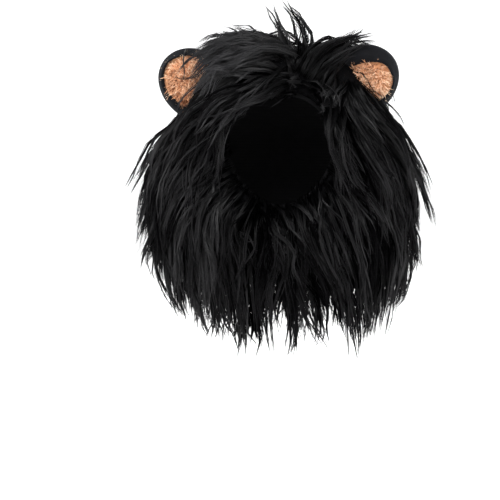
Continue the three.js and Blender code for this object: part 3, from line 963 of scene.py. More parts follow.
def thread_finish():
    made = Finish("black_thread")
    twist = made.noise((1800.0, 1800.0, 1800.0), 2.0)
    colour = made.blend(twist, (0.006, 0.006, 0.007), (0.035, 0.035, 0.038))
    return made.give(Base_Color=colour, Roughness=0.45 + twist * 0.2, Specular_IOR_Level=0.4)


def floor_finish(look):
    made = Finish("pale_floor")
    mottle = made.noise(3.0, 2.0)
    colour = made.tint(tuple(look.floor_colour), 0.985 + mottle * 0.03)
    return made.give(
        Base_Color=colour,
        Roughness=0.9,
        Specular_IOR_Level=0.1,
        Emission_Color=(1.0, 1.0, 1.0, 1.0),
        Emission_Strength=look.floor_glow,
    )


# Settings

DISTANCE = {"subtype": "DISTANCE", "unit": "LENGTH"}
COLOUR = {"subtype": "COLOR", "size": 3}


class MANE_PG_pile(bpy.types.PropertyGroup):
    strands: bpy.props.IntProperty(
        name="Strands", description="How many strands the whole mane has", default=23800, min=100, max=24000
    )
    length: bpy.props.FloatProperty(
        name="Lock length", description="Length of a full lock", default=0.074, **DISTANCE
    )
    spacing: bpy.props.FloatProperty(
        name="Lock spacing", description="Distance between roots of locks", default=0.0108, **DISTANCE
    )
    width: bpy.props.FloatProperty(
        name="Strand width", description="Width of a strand near its root", default=0.00058, **DISTANCE
    )
    inset: bpy.props.FloatProperty(
        name="Undercoat depth", description="How far down the undercoat lies", default=0.008, **DISTANCE
    )
    # The roots are darker than the tips as painted shade deep in the pile.
    root_colour: bpy.props.FloatVectorProperty(
        name="Root colour", description="Colour of the roots", default=(0.0014, 0.0014, 0.0016), **COLOUR
    )
    tip_colour: bpy.props.FloatVectorProperty(
        name="Tip colour", description="Colour of the tips", default=(0.0058, 0.0055, 0.0063), **COLOUR
    )
    gloss_spread: bpy.props.FloatProperty(
        name="Gloss spread", description="Roughness of the gloss", default=0.4, max=1.0, subtype="FACTOR"
    )
    shine: bpy.props.FloatProperty(
        name="Shine", description="Strength of the gloss", default=0.75, min=0.0, max=1.0, subtype="FACTOR"
    )


class MANE_PG_ears(bpy.types.PropertyGroup):
    fibres: bpy.props.IntProperty(
        name="Plush fibres", description="How many fibres each ear has", default=1500, min=10, max=4000
    )
    fibre_length: bpy.props.FloatProperty(
        name="Fibre length", description="Length of the plush fibres", default=0.0066, **DISTANCE
    )
    # Painted shade: the deeper orange low in the plush and on its shaded side.
    plush_painted_shade: bpy.props.FloatVectorProperty(
        name="Deep plush", description="Colour deep in the plush", default=(0.19, 0.05, 0.018), **COLOUR
    )
    plush_tan: bpy.props.FloatVectorProperty(
        name="Tan plush", description="Colour of most of the plush", default=(0.8, 0.395, 0.2), **COLOUR
    )
    # The pale tips and lit side, as painted light.
    plush_pale: bpy.props.FloatVectorProperty(
        name="Pale plush", description="Colour at the tips of the plush", default=(1.0, 0.74, 0.53), **COLOUR
    )


class MANE_PG_hood(bpy.types.PropertyGroup):
    wall: bpy.props.FloatProperty(
        name="Cloth", description="Thickness of the knitted backing", default=0.002, **DISTANCE
    )
    stitch: bpy.props.FloatProperty(
        name="Stitch", description="Width of one column of the knit", default=0.0017, **DISTANCE
    )
    slit: bpy.props.FloatProperty(
        name="Slit", description="Width of the slit at the throat", default=0.0012, **DISTANCE
    )


class MANE_PG_stage(bpy.types.PropertyGroup):
    floor_height: bpy.props.FloatProperty(
        name="Floor height", description="Height of the floor", default=-0.29, **DISTANCE
    )
    floor_colour: bpy.props.FloatVectorProperty(
        name="Floor colour", description="Colour of the floor", default=(0.93, 0.93, 0.93), **COLOUR
    )
    floor_glow: bpy.props.FloatProperty(
        name="Floor glow", description="How far the floor is lifted to white", default=0.5, min=0.0, max=2.0
    )
    world_light: bpy.props.FloatProperty(
        name="Room light", description="Strength of the light from all round", default=0.2, min=0.0, max=5.0
    )
    key_light: bpy.props.FloatProperty(
        name="Key light", description="Power of the light above the front", default=66.0, subtype="POWER"
    )
    side_light: bpy.props.FloatProperty(
        name="Side lights", description="Power of each smaller light", default=13.0, subtype="POWER"
    )


# Operators


class MANE_OT_hood(bpy.types.Operator):
    """Knitted hood with its bound face edge and hem"""

    bl_idname = "mane.hood"
    bl_label = "Hood"

    def execute(self, context):
        look = context.scene.mane_hood
        wall = look.wall / MM
        shell = hood_loft("hood_shell", wall, 96)
        slit = look.slit / MM / 2
        inner = hood_loft("hood_inside", 0.0, 96, HEM_Z - 30)
        throat = block("slit", (-slit, -90, HEM_Z - 40), (slit, 0, FACE_Z))
        cut(shell, [inner, face_tunnel("face_hole", 0.0), throat])
        stitch = look.stitch / MM
        round_map(shell, "Knit", stitch, stitch * 1.3)
        steps = 120
        x, z = face_point(round_turn(steps))
        edge = tube(xyz(x, hood_front(x, z, wall / 2), z), BINDING_RADIUS, 10)
        about = np.linspace(0.05, 2 * math.pi - 0.05, steps)
        wide, deep, centre, low = hood_section(1.0, wall / 2)
        hem_path = xyz(np.sin(about) * wide, centre - np.cos(about) * deep, low + 1)
        hem = tube(hem_path, BINDING_RADIUS, 10, closed=False)
        binding = new_object("hood_binding", *merge([edge, hem]))
        face_outwards(binding)
        round_map(binding, "Knit", stitch * 0.7, stitch * 0.7)
        cloth = knit_finish()
        for piece in (shell, binding):
            finish_piece(piece, cloth, ("hood",))
        return {"FINISHED"}


class MANE_OT_closing(bpy.types.Operator):
    """Hook-and-loop closing inside the throat, with its stitched edge"""

    bl_idname = "mane.closing"
    bl_label = "Throat closing"

    def execute(self, context):
        middle = (CLOSING_TOP + CLOSING_BOTTOM) / 2
        flat_half_width = CLOSING_HALF_WIDTH - CLOSING_CORNER
        flat_half_height = (CLOSING_TOP - CLOSING_BOTTOM) / 2 - CLOSING_CORNER
        rows, columns = 13, 41
        across = np.linspace(-CLOSING_HALF_WIDTH, CLOSING_HALF_WIDTH, columns)
        x, z = np.meshgrid(across, np.linspace(CLOSING_TOP, CLOSING_BOTTOM, rows))
        corner_x = np.maximum(np.abs(x) - flat_half_width, 0)
        corner_z = np.maximum(np.abs(z - middle) - flat_half_height, 0)
        reach = np.hypot(corner_x, corner_z)
        outside = reach > CLOSING_CORNER
        pull = np.where(outside, CLOSING_CORNER / np.maximum(reach, 1e-6), 1.0)
        x = np.where(outside, np.sign(x) * (flat_half_width + corner_x * pull), x)
        z = np.where(outside, middle + np.sign(z - middle) * (flat_half_height + corner_z * pull), z)
        layers = []
        for grow in (-CLOSING_INSET, -CLOSING_INSET - CLOSING_THICKNESS):
            layers.append(xyz(x, hood_front(x, z, grow), z).reshape(-1, 3))
        size = rows * columns
        faces = grid_faces(rows, columns, False)
        faces += [tuple(i + size for i in face[::-1]) for face in grid_faces(rows, columns, False)]
        rim = list(range(columns))
        rim += [i * columns + columns - 1 for i in range(1, rows)]
        rim += [(rows - 1) * columns + j for j in range(columns - 2, -1, -1)]
        rim += [i * columns for i in range(rows - 2, 0, -1)]
        for a, b in zip(rim, rim[1:] + rim[:1]):
            faces.append((a, a + size, b + size, b))
        band = new_object("throat_closing", np.concatenate(layers), faces)
        face_outwards(band)
        bevel = band.modifiers.new("soft edge", "BEVEL")
        bevel.width = 0.0004
        bevel.segments = 2
        bevel.limit_method = "ANGLE"
        apply_modifiers(band)
        band.data.shade_smooth()
        finish_piece(band, closing_finish(), ("throat_band",))

        stitches = []
        lift = np.array([-0.25, 0.12, 0.2, 0.12, -0.25])
        for level in (CLOSING_TOP - 1.8, CLOSING_BOTTOM + 1.8):
            for start in np.arange(-flat_half_width, CLOSING_HALF_WIDTH - 4, 2.6):
                x = np.linspace(start, start + 1.7, 5)
                y = hood_front(x, level, -CLOSING_INSET - CLOSING_THICKNESS) + lift
                stitches.append(tube(xyz(x, y, level), [0.12, 0.2, 0.22, 0.2, 0.12], 6, closed=False))
        thread = new_object("closing_stitches", *merge(stitches))
        face_outwards(thread)
        finish_piece(thread, thread_finish(), ("throat_band",))
        return {"FINISHED"}


def ear_shell(name):
    """The cupped ear: a round back, a rim that rolls inwards by its own width, and a hollow inside."""
    angles = round_turn(72)
    out_x, out_z = np.cos(angles) * EAR_HALF_WIDTH, np.sin(angles) * EAR_HALF_HEIGHT
    inward = ear_opening(name, angles)
    middle = (0.93 + inward) / 2
    # Each ring's share of the ear's outline, and its y.
    profile = [(math.sin(turn), EAR_HALF_DEPTH * math.cos(turn)) for turn in np.radians(EAR_BACK_TURNS)]
    profile += [
        (np.maximum(middle, inward + 0.02) * 0.35 + 0.91 * 0.65, -6.2),
        (middle, -7.6),
        (inward + 0.02, -7.4),
        (inward - 0.01, -6.0),
        (inward + 0.01, -4.2),
        (np.maximum(middle, inward + 0.03), -2.6),
        (0.8, -0.5),
        (0.72, 3.5),
        (0.5, 7.2),
        (0.22, 9.0),
    ]
    rings = [xyz(out_x * share, y, EAR_MIDDLE + out_z * share) for share, y in profile]
    made = closed_loft(name + "_shell", rings, (0, EAR_HALF_DEPTH, EAR_MIDDLE), (0, 9.5, EAR_MIDDLE))
    subdivide(made)
    points = mesh_points(made.data)
    points[:, 1] += 0.5 * ripple(points, 9.0, 3.0 if name == "ear_left" else 5.0)
    move_points(made.data, off_the_hood(place_in(ear_matrix(name), points)))
    return made


class MANE_OT_ears(bpy.types.Operator):
    """Black ear shells with rims that roll inwards"""

    bl_idname = "mane.ears"
    bl_label = "Ears"

    def execute(self, context):
        cloth = nap_finish()
        for name in EARS:
            finish_piece(ear_shell(name), cloth, (name,))
        return {"FINISHED"}


def pad_front(x, z):
    """How far forward the plush lies at a place in the ear."""
    edge = np.hypot(x / PAD_HALF_WIDTH, (z - PAD_MIDDLE) / PAD_HALF_HEIGHT)
    return -2.2 - 3.0 * np.sqrt(np.clip(1 - edge**2, 0, 1))


def plush_pad(name):
    """The crowned pad: a tufted front over a back that fills the ear."""
    angles = round_turn(64)
    rings = []
    for share in np.linspace(0.1, 1.0, 14):
        x = np.cos(angles) * PAD_HALF_WIDTH * share
        z = PAD_MIDDLE + np.sin(angles) * PAD_HALF_HEIGHT * share
        points = xyz(x, pad_front(x, z), z)
        points[:, 1] += 0.5 * ripple(points * np.array([1, 0, 1]), 3.2, 8.0) * (1 - share**4)
        rings.append(points)
    for share, y in ((0.98, 0.5), (0.88, 3.2), (0.6, 6.4), (0.3, 7.9)):
        x = np.cos(angles) * PAD_HALF_WIDTH * share
        z = PAD_MIDDLE + np.sin(angles) * PAD_HALF_HEIGHT * share
        rings.append(xyz(x, y, z))
    made = closed_loft(name + "_pad", rings, (0, -5.2, PAD_MIDDLE), (0, 8.4, PAD_MIDDLE))
    move_points(made.data, off_the_hood(place_in(ear_matrix(name), mesh_points(made.data)), 3.4))
    return made


def ear_opening(name, angle):
    """How far out the rim of the ear leaves it open, as a share of the ear's outline."""
    rims = np.array(EAR_RIMS[name], float)
    rim = np.interp(np.degrees(angle) % 360, rims[:, 0], rims[:, 1])
    rim = rim * (1 + 0.07 * np.sin(angle * 3 + 1) + 0.05 * np.sin(angle * 7))
    return 1 - rim / np.hypot(np.cos(angle) * EAR_HALF_WIDTH, np.sin(angle) * EAR_HALF_HEIGHT)


def plush_fibres(name, look, seed):
    """Short curved fibres over the front of the pad, leaning out over the rim at its edge."""
    chance = np.random.default_rng(seed)
    angle = chance.uniform(0, 2 * math.pi, look.fibres * 3)
    near = np.sqrt(chance.uniform(0, 1, look.fibres * 3))
    share = near * (ear_opening(name, angle) - 0.11)
    x = np.cos(angle) * EAR_HALF_WIDTH * share
    z = EAR_MIDDLE + np.sin(angle) * EAR_HALF_HEIGHT * share
    field = np.hypot(x / FIBRE_FIELD[0], (z - PAD_MIDDLE) / FIBRE_FIELD[1])
    inside = np.flatnonzero(field < 1)[: look.fibres]
    x, z, near, angle = x[inside], z[inside], near[inside], angle[inside]
    count = len(inside)
    root = xyz(x, pad_front(x, z) + 0.5, z)
    tuft = xyz(ripple(root, 2.6, 11.0), 0, ripple(root, 2.6, 17.0))
    out = xyz(np.cos(angle), 0, np.sin(angle))
    way = np.array([0, -0.8, 0]) + tuft * 0.9 + out * (0.1 + 0.75 * near[:, None] ** 3)
    way = unit(way + chance.normal(0, 0.32, (count, 3)))
    bend = unit(chance.normal(0, 1, (count, 3)) + np.array([0, 0, -1.2]) + out * near[:, None] ** 4)
    size = look.fibre_length / MM * chance.uniform(0.6, 1.1, count)
    steps = np.linspace(0, 1, 4)[None, :, None]
    paths = root[:, None] + (way[:, None] * steps + bend[:, None] * 0.45 * steps**2) * size[:, None, None]
    widths = 0.62 * np.array([1.0, 0.9, 0.62, 0.1])[None] * chance.uniform(0.8, 1.2, (count, 1))
    # Painted light on the outer upper side of each ear's plush and painted shade on its inner lower side;
    # the ripple and the noise vary the tone at random.
    painted_side_light = near * (0.75 * np.cos(angle) + 0.45 * np.sin(angle))
    tone = 0.5 + 0.42 * painted_side_light + 0.35 * ripple(root, 7.0, 5.0) + chance.normal(0, 0.2, count)
    return strand_mesh(name + "_fibres", place_in(ear_matrix(name), paths), widths, np.clip(tone, 0, 1))


class MANE_OT_plush(bpy.types.Operator):
    """Tan plush inside the ears"""

    bl_idname = "mane.plush"
    bl_label = "Ear plush"

    def execute(self, context):
        look = context.scene.mane_ears
        ground = plush_finish(look, "tan_plush_ground", fibres=False)
        fibre = plush_finish(look)
        for seed, name in enumerate(EARS):
            pad = plush_pad(name)
            finish_piece(pad, ground, (name + "_plush",))
            fibres = plush_fibres(name, look, 40 + seed)
            finish_piece(fibres, fibre, (name + "_plush",))
        return {"FINISHED"}


class MANE_OT_undercoat(bpy.types.Operator):
    """Dense foot of the pile that the locks stand on"""

    bl_idname = "mane.undercoat"
    bl_label = "Undercoat"

    def execute(self, context):
        inset = context.scene.mane_pile.inset / MM
        about = round_turn(72)
        rings = []
        for drop in np.concatenate([[0.012, 0.035], np.linspace(0.07, 0.93, 24)]):
            drops = np.full(len(about), drop)
            rings.append(pile_point(about, drops) - pile_ways(about, drops)[2] * inset)
        foot = rings[-1] * np.array([0.86, 0.86, 1.0]) - np.array([0, 0, 4.0])
        rings.append(foot)
        body = closed_loft("undercoat", rings, (0, 0, PILE_TOP - inset), (0, 0, float(foot[:, 2].mean())))
        hollow = hood_loft("undercoat_hood", 2.35, 64, HEM_Z - 60)
        cut(body, [hollow, face_tunnel("undercoat_face", FACE_FLARE, 72)])
        mod = body.modifiers.new("even", "REMESH")
        mod.mode = "VOXEL"
        mod.voxel_size = 0.0024
        mod.use_smooth_shade = True
        apply_modifiers(body)
        soft = body.modifiers.new("soft", "SMOOTH")
        soft.iterations = 4
        soft.factor = 0.5
        apply_modifiers(body)
        body.data.shade_smooth()
        finish_piece(body, undercoat_finish(), ("ruff_fur", "nape_fur"))
        return {"FINISHED"}


# Locks


def comb(points, sides, bias=0.0):
    """The way the pile is combed at points, and straight off it. sides is -1 or 1 of the parting."""
    about, drop = locate(points)
    across, fall, off = pile_ways(about, drop)
    crown = 1 - ease(0.04, 0.24, drop)
    way = fall + crown[:, None] * (sides * 1.1)[:, None] * np.array([1.0, 0, -0.05])
    way = unit(way + (1 - crown)[:, None] * np.array([0, 0, -0.35]))
    gap = points[:, None, [0, 2]] - COMBED[None, :, :2]
    weight = 1 / (np.sum(gap**2, -1) + 60.0) ** 2
    flat = weight @ COMBED[:, 2:] / weight.sum(1, keepdims=True)
    ahead = xyz(flat[:, 0], 0, flat[:, 1])
    ahead = unit(ahead - off * np.sum(ahead * off, -1, keepdims=True) * 0.85)
    front = ease(30, -22, points[:, 1])[:, None]
    way = unit(way * (1 - front) + ahead * front)
    flare = 0.12 * ease(45, 78, np.abs(points[:, 0])) * ease(-150, -60, points[:, 2]) * front[:, 0]
    way = way + (np.sign(points[:, 0]) * flare)[:, None] * np.array([1.0, 0, 0])
    swirl = 0.36 * ripple(points, 34.0, 2.0) + 0.26 * ripple(points, 15.0, 9.0) + bias
    return unit(way + across * swirl[:, None] + off * 0.08), off


def off_surface(tree, points):
    """The way off the undercoat at points, and how far off it they are, below 0 inside it."""
    outward, gap = np.zeros_like(points), np.full(len(points), 99.0)
    for i, point in enumerate(points):
        here = Vector(point * MM)
        spot, normal, _, away = tree.find_nearest(here)
        if spot is not None:
            inside = (here - spot).dot(normal) < 0
            outward[i] = normal
            gap[i] = -away / MM if inside else away / MM
    return outward, gap


def together(sets):
    """One set of arrays from several that have the same names."""
    return {key: np.concatenate([one[key] for one in sets]) for key in sets[0]}


def alike(number, **values):
    """Arrays that hold the same value for each lock."""
    return {key: np.full(number, value) for key, value in values.items()}


def lay_locks(starts, tree):
    """Locks from their starts, combed over the pile and held off it and out of the ears."""
    guides = np.empty((len(starts["root"]), GUIDE_STEPS, 3))
    guides[:, 0] = starts["root"]
    here = starts["root"]
    heading = starts["way"]
    stride = starts["length"] / (GUIDE_STEPS - 1)
    for k in range(1, GUIDE_STEPS):
        share = k / (GUIDE_STEPS - 1)
        way, off = comb(here, starts["side"], starts["bias"])
        lift = (starts["lift"] * (1 - share) ** 2)[:, None]
        heading = unit(heading * 0.6 + way * 0.4 + off * lift * 0.4)
        turn = (starts["droop"] * 0.3 * share)[:, None]
        heading = unit(heading * (1 - turn) + np.array([0, 0, -1.0]) * turn)
        here = here + heading * stride[:, None]
        keep = np.maximum(starts["clear"] * np.clip(share * starts["ramp"], 0.1, 1.0), starts["floor"])
        outward, gap = off_surface(tree, here)
        near = np.clip(keep - gap, 0, None)
        over = np.clip(gap - keep - 4, 0, 6) * 0.4 * starts["hug"] * (locate(here)[1] < 0.86)
        here = here + outward * (near - over)[:, None]
        here = out_of_ears(here, starts["front"], 1.5)
        guides[:, k] = here
        heading = unit(here - guides[:, k - 1])
    kept = {key: starts[key] for key in ("front", "height", "scale", "length")}
    return {"guide": guides, **kept, "neat": np.zeros(len(guides))}


def trim(locks, chance):
    """Locks stop short of the face opening, the ears' fronts and the foot, and go where little is left."""
    guides = locks["guide"]
    limit = in_face(guides, 1.0, 1.0) < chance.uniform(0.86, 1.0, (len(guides), 1))
    limit &= guides[..., 1] < -20
    for name, ear in EARS.items():
        x, y, z = np.moveaxis(ear_local(name, guides), -1, 0)
        half_width, half_height, middle = ear["window"]
        seen = np.hypot(x / half_width, (z - middle) / half_height) < 1
        seen &= (y < 0) & (y > -45)
        if name == "ear_left":
            seen &= guides[..., 0] < -57
        limit |= seen
    limit |= guides[..., 2] < chance.uniform(FOOT_LOWEST, FOOT_HIGHEST, (len(guides), 1))
    limit[:, :2] = False
    first = np.where(limit.any(1), limit.argmax(1), GUIDE_STEPS)
    share = np.clip((first - 1) / (GUIDE_STEPS - 1), 0, 1)
    places = np.linspace(0, 1, GUIDE_STEPS)[None] * share[:, None]
    cut_back = {**locks, "guide": along_guides(guides, places), "length": locks["length"] * share}
    good = share > 0.2
    return {key: value[good] for key, value in cut_back.items()}


def root_rows(spacing, chance):
    """Roots of locks in rows down the pile: where round, where down."""
    rows = []
    drops = np.concatenate([[0.006, 0.022, 0.045], np.arange(0.075, 0.975, spacing / PILE_FALL)])
    for i, drop in enumerate(drops):
        ring = pile_point(np.linspace(0, 2 * math.pi, 200), np.full(200, drop))
        girth = np.linalg.norm(np.diff(ring, axis=0), axis=1).sum()
        count = max(4, int(round(girth / spacing)))
        about = np.arange(count) + 0.5 * (i % 2) + chance.uniform(-0.35, 0.35, count)
        down = drop + chance.uniform(-0.02, 0.02, count) * (1 if drop > 0.05 else 0.1)
        rows.append(np.stack([about / count * 2 * math.pi, np.clip(down, 0.003, 0.98)], -1))
    return np.concatenate(rows)


def body_starts(look, chance):
    """Starts of the locks on the pile's body, clear of the face opening and of the ears."""
    about, drop = root_rows(look.spacing / MM, chance).T
    surface = pile_point(about, drop)
    off = pile_ways(about, drop)[2]
    kept = ~(on_face(surface, 0.6, 2.0) | beside_ears(surface))
    drop, surface, off = drop[kept], surface[kept], off[kept]
    count = len(drop)
    x, y = surface[:, 0], surface[:, 1]
    side = np.tanh((x - PARTING_X) / 9 + chance.normal(0, 0.35, count))
    beside = np.abs(off[:, 0])
    lift = np.interp(drop, [0, 0.15, 0.4, 0.75, 1], [0.5, 0.62, 0.72, 0.55, 0.2])
    lift = lift * chance.uniform(0.6, 1.3, count) * (1 - 0.45 * beside**2)
    full = look.length / MM
    length = full * np.interp(drop, [0, 0.1, 0.3, 0.6, 0.82, 1], [0.8, 0.85, 0.98, 1.0, 0.98, 0.78])
    length = length * chance.uniform(0.82, 1.14, count)
    length = length * (1 + 0.34 * ease(48, 72, x) * ease(0.55, 0.8, drop))
    length = length * (1 + 0.17 * (ease(52, 22, np.abs(x)) * ease(0.55, 0.8, drop) * (y < 0)))
    length = length * (1 - 0.12 * ease(-42, -60, x) * ease(0.7, 0.85, drop))
    droop = np.interp(drop, [0, 0.2, 0.5, 1], [0.35, 0.5, 0.75, 0.9]) * chance.uniform(0.7, 1.2, count)
    loft = np.interp(drop, [0, 0.08, 0.16, 0.3, 0.5], [7, 12, 20, 21, 17]) * (1 - 0.72 * beside**2)
    loft = loft * (1 - 0.3 * ease(10, 30, y) * ease(0.3, 0.4, drop))
    height = chance.uniform(0, 1, count)
    return {
        "root": surface - off * (look.inset / MM + 2),
        "way": unit(comb(surface, side)[0] + off * lift[:, None]),
        "side": side,
        "length": length,
        "droop": droop,
        "height": height,
        "clear": 2.0 + height * (loft - 2.0),
        "scale": chance.uniform(0.8, 1.2, count),
        "lift": lift,
        **alike(count, wander=0.2, ramp=3.0, floor=0.0),
    }


def rim_starts(look, ring, chance):
    """Starts of the locks in one ring round the face."""
    egg, ahead, number, thick = FACE_RINGS[ring]
    angle = (np.arange(number) + 0.4 * ring + chance.uniform(-0.3, 0.3, number)) / number * 2 * math.pi
    x, z = face_point(angle, np.maximum(egg, 0.95 + 0.06 * ease(0.1, 0.5, np.sin(angle))))
    wide, front, _ = pile_section(np.clip((PILE_TOP - z) / (PILE_TOP + PILE_BOTTOM), 0, 1))
    inner = hood_front(x, z, 3.0)
    root = xyz(x, inner + (oval_front(x, wide, front) - inner) * ahead, z)
    out = xyz(np.cos(angle), 0, np.sin(angle))
    side = np.sign(x - PARTING_X)
    combed = comb(root + out * 6, side)[0]
    brow = ease(0.35, 0.95, np.sin(angle))[:, None]
    below = ease(0.1, -0.6, np.sin(angle))[:, None]
    start = out * (0.55 - 0.3 * brow - 0.75 * below) + combed * (0.55 + 0.3 * brow - 0.2 * below)
    length = look.length / MM * (0.92 - 0.34 * brow[:, 0]) * chance.uniform(0.8, 1.12, number)
    height = chance.uniform(0, 1, number)
    return {
        "root": root,
        "way": unit(start + np.array([0, -0.75, 0]) * (1 - 0.15 * ring) * (1 + 0.5 * below)),
        "side": side,
        "length": length,
        "droop": 0.75 - 0.35 * brow[:, 0],
        "height": height,
        "clear": 5 + 12 * height,
        **alike(number, scale=thick, lift=0.25, wander=0.36, ramp=1.3, floor=2.6),
    }


def long_locks(look, tree, chance):
    """The long locks of the body and of the rings round the face."""
    starts = [body_starts(look, chance)]
    starts += [rim_starts(look, ring, chance) for ring in range(len(FACE_RINGS))]
    starts = together(starts)
    starts["front"] = starts["root"][:, 1] < 2.0
    starts["bias"] = chance.normal(0, 1, len(starts["root"])) * starts["wander"]
    starts["hug"] = np.interp(locate(starts["root"])[1], [0.1, 0.35], [1.0, 0.25])
    return trim(lay_locks(starts, tree), chance)


def bare_places(guides, chance):
    """Places on the pile's body that no lock passes."""
    about = chance.uniform(0, 2 * math.pi, 5000)
    drop = chance.uniform(0.002, 0.9, 5000)
    spots = pile_point(about, drop)
    hidden = on_face(spots, 0.4, 1.0) | beside_ears(spots)
    passed = KDTree(guides.shape[0] * guides.shape[1])
    for i, point in enumerate(guides.reshape(-1, 3)):
        passed.insert(Vector(point), i)
    passed.balance()
    chosen = []
    for spot in spots[~hidden]:
        far = passed.find(Vector(spot))[2] >= 8.5
        if far and all(np.linalg.norm(spot - other) > 7.0 for other in chosen):
            chosen.append(spot)
    return np.array(chosen).reshape(-1, 3)


def short_locks(look, guides, tree, chance):
    """Short locks that fill what the long ones leave bare."""
    bare = bare_places(guides, chance)
    number = len(bare)
    off = pile_ways(*locate(bare))[2]
    side = np.tanh((bare[:, 0] - PARTING_X) / 9 + chance.normal(0, 0.6, number))
    starts = {
        "root": bare - off * (look.inset / MM + 1),
        "side": side,
        "way": unit(comb(bare, side)[0] + off * 0.5 + chance.normal(0, 0.25, (number, 3))),
        "length": look.length / MM * chance.uniform(0.4, 0.6, number),
        "clear": chance.uniform(1.5, 5.0, number),
        "bias": chance.normal(0, 0.35, number),
        "front": bare[:, 1] < 2,
        **alike(number, droop=0.4, hug=0.8, ramp=3.0, floor=0.0, lift=0.3, scale=0.85, height=0.0),
    }
    locks = trim(lay_locks(starts, tree), chance)
    # Low heights darken these low locks as painted shade.
    locks["height"] = chance.uniform(0.1, 0.6, len(locks["guide"]))
    return locks


def smooth_course(points, count):
    """Points evenly along a smooth curve through a few points."""
    points = np.asarray(points, float)
    ends = np.concatenate([[2 * points[0] - points[1]], points, [2 * points[-1] - points[-2]]])
    place = np.linspace(0, len(points) - 1, count)
    low = np.minimum(place.astype(int), len(points) - 2)
    t = (place - low)[:, None]
    a, b, c, d = (ends[low + k] for k in range(4))
    return 0.5 * (2 * b + (c - a) * t + (2 * a - 5 * b + 4 * c - d) * t**2 + (3 * b - a - 3 * c + d) * t**3)


def styled_locks(tree, chance):
    """The styled locks, each lying on the pile where the camera sees its course."""
    eye = AIM + np.array([0, -math.cos(CAMERA_RISE), math.sin(CAMERA_RISE)]) * CAMERA_AWAY
    ahead = np.array([0, math.cos(CAMERA_RISE), -math.sin(CAMERA_RISE)])
    up = np.array([0, math.sin(CAMERA_RISE), math.cos(CAMERA_RISE)])
    guides, sizes = [], []
    for copies, spread, clear, size, course in STYLED:
        for _ in range(copies):
            seen = smooth_course(course, GUIDE_STEPS) + chance.normal(0, spread * 0.55, 2)
            seen = seen + np.linspace(0, 1, GUIDE_STEPS)[:, None] * chance.normal(0, spread * 0.8, 2)
            made, last = [], None
            for k, (right, down) in enumerate(seen):
                aside = np.array([1, 0, 0]) * (right - HALF_PICTURE)
                raised = up * (HALF_PICTURE - down)
                ray = ahead + aside / HALF_PICTURE * HALF_VIEW / CAMERA_AWAY
                ray = ray + raised / HALF_PICTURE * HALF_VIEW / CAMERA_AWAY
                spot = tree.ray_cast(Vector(eye * MM), Vector(ray))[0]
                if spot is None:
                    y = -10.0 if last is None else last - last * 0.12
                else:
                    y = spot[1] / MM if last is None else min(spot[1] / MM, last + 9)
                last = y
                off = clear * min(1.0, k / 2.5) - (3.0 if k == 0 else 0.0)
                made.append(eye + ray * ((y - off - eye[1]) / ray[1]))
            guides.append(made)
            sizes.append((size, clear))
    guides = np.array(guides)
    scale, clears = np.array(sizes).T
    return {
        "guide": guides,
        "front": np.ones(len(guides), bool),
        # Locks that lie nearly on the undercoat get a low height, which darkens them as painted shade.
        "height": chance.uniform(0.6, 1.0, len(guides)) * np.where(clears < 1, 0.1, 1.0),
        "scale": scale,
        "length": np.linalg.norm(np.diff(guides, axis=1), axis=-1).sum(1),
        "neat": np.where(clears > 1, 1.0, 0.0),
    }


